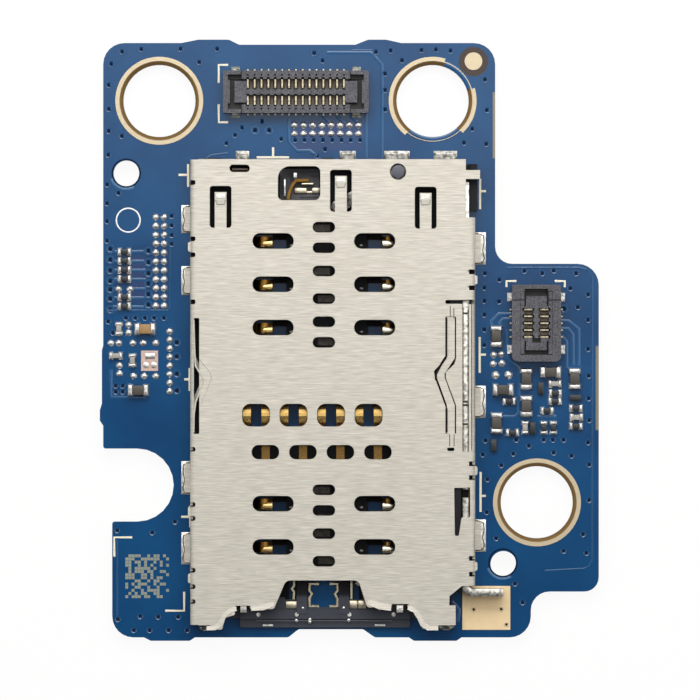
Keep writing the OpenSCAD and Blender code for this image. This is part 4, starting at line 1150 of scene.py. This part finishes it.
def flux_lines():
    runs = []
    for low, high in loose_boxes("solder_lands"):
        on_side = low.y < BACK_LANDS.y and high.y - low.y > 1.2 and not MOUTH_LOW.x < low.x < MOUTH_HIGH.x
        if not on_side:
            continue
        left = low.x < 0
        near, far = (high.x, low.x) if left else (low.x, high.x)
        inward = 1 if left else -1
        edge = far + inward * FLUX_IN
        tall = high.y - low.y
        places = [(near, 0.03), ((near + far) / 2, 0.06), (edge + inward * 0.05, 0.1), (edge, 0.2),
                  (edge + inward * 0.09, 0.45), (edge, 0.7), (edge + inward * 0.05, 0.9),
                  ((near + far) / 2, 0.94), (near, 0.97)]
        runs.append([Vector((x, low.y + tall * share, LAND_TOP + 0.06)) for x, share in places])
    return ridge(runs, 0.07, 0.03)


deliver(flux_lines(), "foot_flux_lines", "solder_tin", FLUX_AND_SHADE)

# Dark rims of the two plain holes, with a lighter crescent of mask on one side
PLAIN_HOLES_PX = [(503, 563), (126, 173)]
HOLE_R = 0.765
RIM_STEPS = 48
rims = ridge([circle(spot(*place), HOLE_R + 0.05, RIM_STEPS) for place in PLAIN_HOLES_PX], 0.1, 0.02,
             closed=True)
deliver(rims, "plain_hole_rims", "solder_mask", DISH)
halos = ridge([arc(spot(*place), HOLE_R + 0.17, 200, 300, 20) for place in PLAIN_HOLES_PX], 0.14, 0.012)
deliver(halos, "plain_hole_halos", "solder_mask", MASK_HALO)

# Mask that covers the two gaps in the flange of the upper right ring
DAM_R = 2.28
DAM_W = 0.31
DAMS = ((18, 72), (232, 312))
ring_middle = ring_circle("mount_ring_upper_right")[0]
dams = ridge([arc(ring_middle, DAM_R, *ends, 24) for ends in DAMS], DAM_W, 0.035)
deliver(dams, "ring_mask_dams", "solder_mask", MASK_EDGE)

# Left leaf spring: its bright edge in the slot, and the bulge that it leaves in the roof
LEFT_LEAF_PX = [(194, 320), (195, 352), (196, 366), (203.4, 378), (203, 384), (196, 402), (194.4, 414),
                (194, 432)]
LEFT_BULGE_PX = [(200.4, 359), (206, 366), (211.6, 373), (211.6, 378), (207, 390), (202, 402)]
deliver(ridge([line(ROOF_TOP - 0.02, *LEFT_LEAF_PX)], 0.12, 0.05, sides=3), "left_leaf_edge",
        "shell_steel", STEEL, smooth=60)
deliver(ridge([line(ROOF_TOP, *LEFT_BULGE_PX)], 0.1, 0.03, sides=2), "left_leaf_bulge",
        "shell_steel", STEEL, smooth=60)

# Stamped crowns near the free ends of the SIM contacts, and gleaming stub ends in their bays
SIM_ROWS_PX = (242.4, 285.6, 328.8, 504.4, 547.6)
CROWN = (1.5, 0.52, 0.12)
CROWNS_PX = (272.4, 382.6)
CROWN_LEVEL = FLOOR_TOP + 0.42
CROWN_ROOT = 0.3
STUBS_PX = (291.4, 361.4)
CROWN_OFF_PX = 1.6
STUB_OFF_PX = 3


def crown(side):
    """Half of a long drop, cut off at the free end of its contact and rooted in the tongue."""
    piece = dome(*CROWN, CROWN_LEVEL)
    edit_mode()
    select_all()
    bpy.ops.mesh.bisect(plane_co=(0, 0, 0), plane_no=(side, 0, 0), clear_inner=True, use_fill=True)
    object_mode()
    pick(piece, lambda centre, normal: normal.z < -0.9)
    bpy.ops.mesh.extrude_region_move(TRANSFORM_OT_translate={"value": (0, 0, -CROWN_ROOT)})
    object_mode()
    return piece


# The right-hand crowns take a paler gold as a painted highlight
for name, side, px, gilt in (("left_contact_crowns", -1, CROWNS_PX[0], CROWN_GOLD),
                             ("right_contact_crowns", 1, CROWNS_PX[1], CROWN_HIGHLIGHT_GOLD)):
    crowns = spread(crown(side), flat([(px, py + CROWN_OFF_PX) for py in SIM_ROWS_PX]))
    deliver(crowns, name, "contact_gold", gilt, smooth=60)
stubs = spread(dome(0.26, 0.18, 0.1, FLOOR_TOP, 8),
               flat([(px, py + STUB_OFF_PX) for px in STUBS_PX for py in SIM_ROWS_PX]))
deliver(stubs, "bay_stub_ends", "solder_tin", TIN, smooth=60)

# Tin bar and two tin dots on the copper land
COPPER_TOP = box_mm("copper_land")[1].z


def land_tin():
    bar = ridge([line(COPPER_TOP, (145.5, 356), (154.5, 356))], 0.36, 0.06, sides=3)
    dot = round_start(16, 0.17, 0.05, COPPER_TOP)
    pick(dot, faces_up)
    bpy.ops.mesh.inset(thickness=0.06, depth=0.02)
    object_mode()
    dots = spread(dot, flat([(145.7, 365), (153.7, 365)]))
    return join([bar, dots])


deliver(land_tin(), "copper_land_tin", "solder_tin", TIN, smooth=60)

# Mouth: lead-in lips that flare up, contact frames, stub ends and solder at the front feet
LIP_RISE = 0.04
LIP_SHEET = 0.07
LIPS_PX = [
    ([(207, 625.4), (213.4, 625.4), (219, 621), (222.6, 613), (228, 608.4), (236.4, 605.6)],
     [(207, 629.4), (215.5, 629.4), (222.5, 625.5), (226, 617), (230.5, 612.4), (237, 610)]),
    ([(251.5, 605), (262, 604), (273.5, 600.5)], [(251.5, 610), (264, 609.5), (274.8, 605)]),
    ([(368.5, 599), (380, 602), (391, 604)], [(366.6, 603.5), (379, 608.6), (391, 610)]),
    ([(407.5, 604.6), (415, 607.2), (420.5, 614), (423.6, 621), (429.4, 625.2), (438, 625.6)],
     [(407.5, 609), (413, 611.4), (417, 617.6), (420.5, 625), (427, 629.4), (438, 629.4)]),
]


def lips():
    return join([strip_between(line(ROOF_TOP + 0.002, *inner),
                               line(ROOF_TOP + LIP_RISE, *outer), LIP_SHEET)
                 for inner, outer in LIPS_PX])


deliver(lips(), "mouth_lips", "shell_steel", STEEL, smooth=30)

# Painted shadow: dark bars over the inner ends of the bays, where the edge of the window shades the floor
BAY_SHADOW_PX = ((272.6, 287), (367, 381.8))
BAR_FROM, BAR_TO = -7.6, -2.6
bay_shadow_bars = [((left, py + BAR_FROM), (right, py + BAR_TO))
            for left, right in BAY_SHADOW_PX for py in SIM_ROWS_PX]
deliver(upset_plates(bay_shadow_bars, FLOOR_TOP - 0.05, FLOOR_TOP + 0.02), "bay_shadow_bars", "socket_plastic", SHADE_BLACK)

# Clips beside the mouth bar, between the two black knobs of each ear
CLIPS_PX = [((240.6, 604.6), (246.6, 612)), ((396.6, 604.6), (403, 612))]
deliver(upset_plates(CLIPS_PX, EAR_TOP - 0.1, ROOF_UNDER - 0.1), "mouth_ear_clips", "ejector_steel",
        LAND_TIN)

FRAMES_PX = [
    [(319, 584), (309.6, 584), (309.4, 591), (312, 594), (309.4, 598), (309.6, 606.5), (319, 606.5)],
    [(329.5, 584), (337.4, 584), (337.6, 591), (335, 594), (337.6, 599), (337.4, 606.5), (329.5, 606.5)],
    [(294, 581), (294, 586), (291.6, 589), (294, 592), (293.6, 600)],
    [(351.4, 581), (351.4, 600)], [(356, 582.6), (362, 587), (364, 592)],
]
frames = ridge(runs(LAND_TOP, FRAMES_PX), 0.24, 0.07)
deliver(frames, "mouth_contact_frames", "contact_gold", PIN)

# The rail of the front right contact ends at the rib and leaves the middle of the mouth open
MOUTH_RIB_PX = (349, 604)


def trimmed_contact(node):
    piece = copy_of(node)
    edit_mode()
    select_all()
    bpy.ops.mesh.bisect(plane_co=spot(*MOUTH_RIB_PX), plane_no=(1, 0, 0), clear_inner=True, use_fill=True)
    object_mode()
    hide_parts(node)
    return piece


front_right = next(node for node in ("lower_sim_contact_5", "lower_sim_contact_6")
                   if box_mm(node)[1].x > spot(*MOUTH_RIB_PX).x + 1)
deliver(trimmed_contact(front_right), front_right + "_trimmed", "contact_gold", CONTACT)

# Dark plates down in the open voids of the mouth, painted as near-black shade
VOID_PX = [((272.6, 581), (289, 600)), ((359, 586), (368, 599.6))]
deliver(upset_plates(VOID_PX, BOARD_TOP, FLOOR_TOP - 0.12), "mouth_shaded_steps", "socket_plastic", SHADE_BLACK)

TAILS_PX = [((286, 601.6), (297.4, 608.4)), ((349.4, 600.8), (357.2, 608.4)),
            ((358.4, 600.8), (366, 608.4))]
deliver(upset_plates(TAILS_PX, FLOOR_TOP, FLOOR_TOP + 0.08), "mouth_contact_tails",
        "contact_gold", PIN)

PIPS_PX = [(296.4, 620.4), (348.8, 620), (303, 608), (343.6, 607.8), (310, 619.4), (310, 621.6)]
deliver(spread(dome(0.2, 0.2, 0.07, BAR_TOP), flat(PIPS_PX)), "mouth_bar_pips", "solder_tin", TIN)

# Painted highlight: a line of lighter charcoal plastic along the step of the mouth bar
BAR_GLEAM_PX = [(256, 620.7), (392, 620.7)]
deliver(ridge([line(BAR_TOP, *BAR_GLEAM_PX)], 0.06, 0.02), "mouth_bar_edge_highlight", "socket_plastic", POST_AND_HIGHLIGHT)

BLOBS_PX = [((198.6, 624), (211.5, 631.6)), ((438, 623.4), (455, 631))]


def front_solder():
    made = []
    for low, high in BLOBS_PX:
        size = spot(*high) - spot(*low)
        drop = dome(abs(size.x), abs(size.y), 0.3, BOARD_TOP)
        made.append(twin(drop, ((spot(*low) + spot(*high)) / 2).xy.to_3d()))
        throw_away(drop)
    return join(made)


deliver(front_solder(), "front_foot_solder", "solder_tin", GREY_TIN, smooth=60)

# Right leaf spring: painted shadow lines along the gaps of its bow and necks, and along the seam beside the
# rod
LEAF_GAPS_PX = [[(446, 318), (446, 356), (440.6, 364.6), (435.6, 374), (435.6, 380)],
                [(446.2, 408), (446.2, 432)]]
LEAF_NECKS_PX = [[(450, 306), (450, 317)], [(453.6, 308), (453.6, 318)], [(449.4, 434), (449.4, 446)],
                 [(453.8, 434), (453.8, 446)], [(471.4, 302), (471.4, 450)]]
deliver(ridge(runs(ROOF_TOP, LEAF_GAPS_PX), 0.13, 0.01), "right_leaf_gap_shadow",
        "shell_steel", SHADE_BLACK)
deliver(ridge(runs(ROOF_TOP, LEAF_NECKS_PX), 0.05, 0.01), "right_leaf_crease_shadows",
        "shell_steel", FLUX_AND_SHADE)

# Shoulders on the rod that show in its window
ROD_TOP = box_mm("eject_rod")[1].z
SHOULDERS_PX = [[(462.4, 313.4), (467.6, 313.4)], [(462.4, 401.6), (467.6, 401.6)],
                [(462.4, 405), (467.6, 405)], [(462.4, 424), (467.6, 424)]]
deliver(ridge(runs(ROD_TOP, SHOULDERS_PX), 0.13, 0.02), "rod_shoulders",
        "ejector_steel", FLUX_AND_SHADE, body=ROD)

# Painted shade: a dark plate on the rod in the lower window, and dark plates on the floors of the notches
# along the bends
ROD_SHADE_PX = [((461.8, 489), (468.4, 497.4))]
deliver(upset_plates(ROD_SHADE_PX, ROD_TOP - 0.05, ROD_TOP + 0.004), "rod_window_shade", "ejector_steel", SHADE_BLACK,
        body=ROD)
NOTCH_HALF = 2.2
NOTCH_FLOOR = ROOF_TOP - 0.55
LEFT_NOTCHES_PX = (183, 239, 255, 302, 452.4, 507.5, 521.4, 573, 589.4, 604.4)
RIGHT_NOTCHES_PX = (272, 288, 466.8, 480.6, 561.2, 577)
notches = [((left, py - NOTCH_HALF), (right, py + NOTCH_HALF))
           for left, right, rows in ((190.7, 195, LEFT_NOTCHES_PX), (469.6, 474.7, RIGHT_NOTCHES_PX))
           for py in rows]
deliver(upset_plates(notches, NOTCH_FLOOR - 0.06, NOTCH_FLOOR + 0.03), "bend_notch_shade",
        "shell_steel", SHADE_BLACK)

# Rolled ends of the sprung tabs, painted white as a highlight, with a grey facet and a darker crease behind
# each, painted as shade
TAB_ENDS_PX = [(221, 197), (340.9, 180), (425.3, 197.4)]
TAB_DIP = 0.05
TAB_LIFT = 0.07
tab_plates = [((px - 5, py - 3), (px + 5, py + 2.4)) for px, py in TAB_ENDS_PX]
tab_rolls = upset_plates(tab_plates, ROOF_TOP - TAB_DIP - 0.06, ROOF_TOP - TAB_DIP + TAB_LIFT)
bevel(tab_rolls, 0.05, 1)
deliver(tab_rolls, "tab_end_rolls", "shell_steel", ROLL_HIGHLIGHT, smooth=0)
tab_facets = upset_plates([((px - 4.4, py + 2.6), (px + 4.4, py + 8.4)) for px, py in TAB_ENDS_PX],
                          ROOF_TOP - TAB_DIP, ROOF_TOP + 0.012)
deliver(tab_facets, "tab_end_facets", "shell_steel", FACET_SHADE, smooth=0)
tab_creases = ridge([line(ROOF_TOP - TAB_DIP + 0.05, (px - 5, py + 3), (px - 3.4, py + 7.6),
                          (px + 3.4, py + 7.6), (px + 5, py + 3)) for px, py in TAB_ENDS_PX], 0.07, 0.06)
deliver(tab_creases, "tab_creases", "shell_steel", CREASE_SHADE)

# Floor of the tray switch bay, with shallow ribs, in a grey lighter than the black base as painted light;
# and the copper edge in the back slot
BAY_PX = ((280, 169), (319, 199.6))
BAY_RIBS_PX = [[(281.5, 176), (281.5, 197)], [(290.5, 174), (290.5, 196)], [(299, 172), (318, 172)],
               [(311, 176), (318, 176)], [(300, 197), (317, 197)]]


def bay_floor():
    low, high = BAY_PX
    plate = block_start(spot(low[0], high[1], FLOOR_TOP), spot(high[0], low[1], FLOOR_TOP + 0.04))
    pick(plate, faces_up)
    bpy.ops.mesh.inset(thickness=0.12, depth=-0.015)
    object_mode()
    ribs = ridge(runs(FLOOR_TOP + 0.03, BAY_RIBS_PX), 0.1, 0.08)
    return join([plate, ribs])


deliver(bay_floor(), "switch_bay_floor", "socket_plastic", BAY_PAINTED_LIGHT)
SLOT_EDGE_PX = [(232, 169.2), (248, 169.2)]
deliver(ridge([line(FLOOR_TOP, *SLOT_EDGE_PX)], 0.16, 0.12), "back_slot_edge", "bare_copper", COPPER)

# Studio: pale floor, soft panels above and at both sides, key from the back of the socket
FLOOR_HALF = 1.5
FLOOR_DROP = 0.00005
FLOOR_GLOW = 0.93


def studio_floor():
    put_down()
    bpy.ops.mesh.primitive_plane_add(size=2 * FLOOR_HALF, location=(0, 0, -FLOOR_DROP))
    floor = bpy.context.object
    floor.name = "studio_floor"
    pale = Finish("pale_floor", Roughness=0.9)
    pale.feed("Base Color", paint(244, 244, 244))
    glow = pale.tree.nodes.new("ShaderNodeEmission")
    glow.inputs["Strength"].default_value = 1.0
    path = pale.tree.nodes.new("ShaderNodeLightPath")
    seen = Value(pale, path.outputs["Is Camera Ray"])
    shine = Value(pale, path.outputs["Is Glossy Ray"])
    through = Value(pale, path.outputs["Is Transmission Ray"])
    share = pale.node("ShaderNodeMath", {"operation": "MINIMUM"}, {0: seen + shine + through, 1: 1.0})
    pale.blend(share * FLOOR_GLOW, pale.shader, glow)
    floor.data.materials.append(pale.material)


studio_floor()

PANEL_TURN = -12
WARM = (1, 0.99, 0.965)
SKY_LEVEL = 0.11


def soft_panel(name, width, depth, place, aim, level, tint, turn=0.0):
    """Soft light panel that looks as bright as the level, aimed at a point."""
    lamp = bpy.data.lights.new(name, "AREA")
    lamp.shape = "RECTANGLE"
    lamp.size = width
    lamp.size_y = depth
    lamp.energy = level * math.pi * width * depth
    lamp.color = tint
    holder = bpy.data.objects.new(name, lamp)
    bpy.context.scene.collection.objects.link(holder)
    holder.location = place
    holder.rotation_euler = (Vector(aim) - Vector(place)).to_track_quat("-Z", "Y").to_euler()
    holder.rotation_euler.rotate_axis("Z", turn)
    holder.visible_camera = False


soft_panel("overhead_panel", 0.8, 0.5, (0, 0.27, 0.5), (0, 0.27, 0), 1.44, WARM,
           math.radians(PANEL_TURN))
soft_panel("right_panel", 0.3, 0.3, (0.32, 0, 0.2), (0, 0, 0), 1.3, WARM)
soft_panel("left_panel", 0.3, 0.3, (-0.32, 0, 0.2), (0, 0, 0), 1.2, WARM)
soft_panel("key_panel", 0.12, 0.06, (0, 0.085, 0.09), (0, 0, 0), 5.3, WARM)

world = bpy.data.worlds.new("studio")
world.use_nodes = True
world.node_tree.nodes["Background"].inputs["Color"].default_value = (1, 1, 1, 1)
world.node_tree.nodes["Background"].inputs["Strength"].default_value = SKY_LEVEL
bpy.context.scene.world = world

camera_data = bpy.data.cameras.new("camera")
camera_data.sensor_width = SENSOR
camera_data.lens = SENSOR * (CAMERA_HEIGHT - FOCUS_LEVEL) / FIELD_MM
camera_data.clip_start = 0.01
camera_data.clip_end = 20
camera = bpy.data.objects.new("camera", camera_data)
bpy.context.scene.collection.objects.link(camera)
camera.location = spot(*FIELD_CENTRE_PX, CAMERA_HEIGHT) * MM
bpy.context.scene.camera = camera
bpy.context.scene.view_settings.view_transform = "Standard"
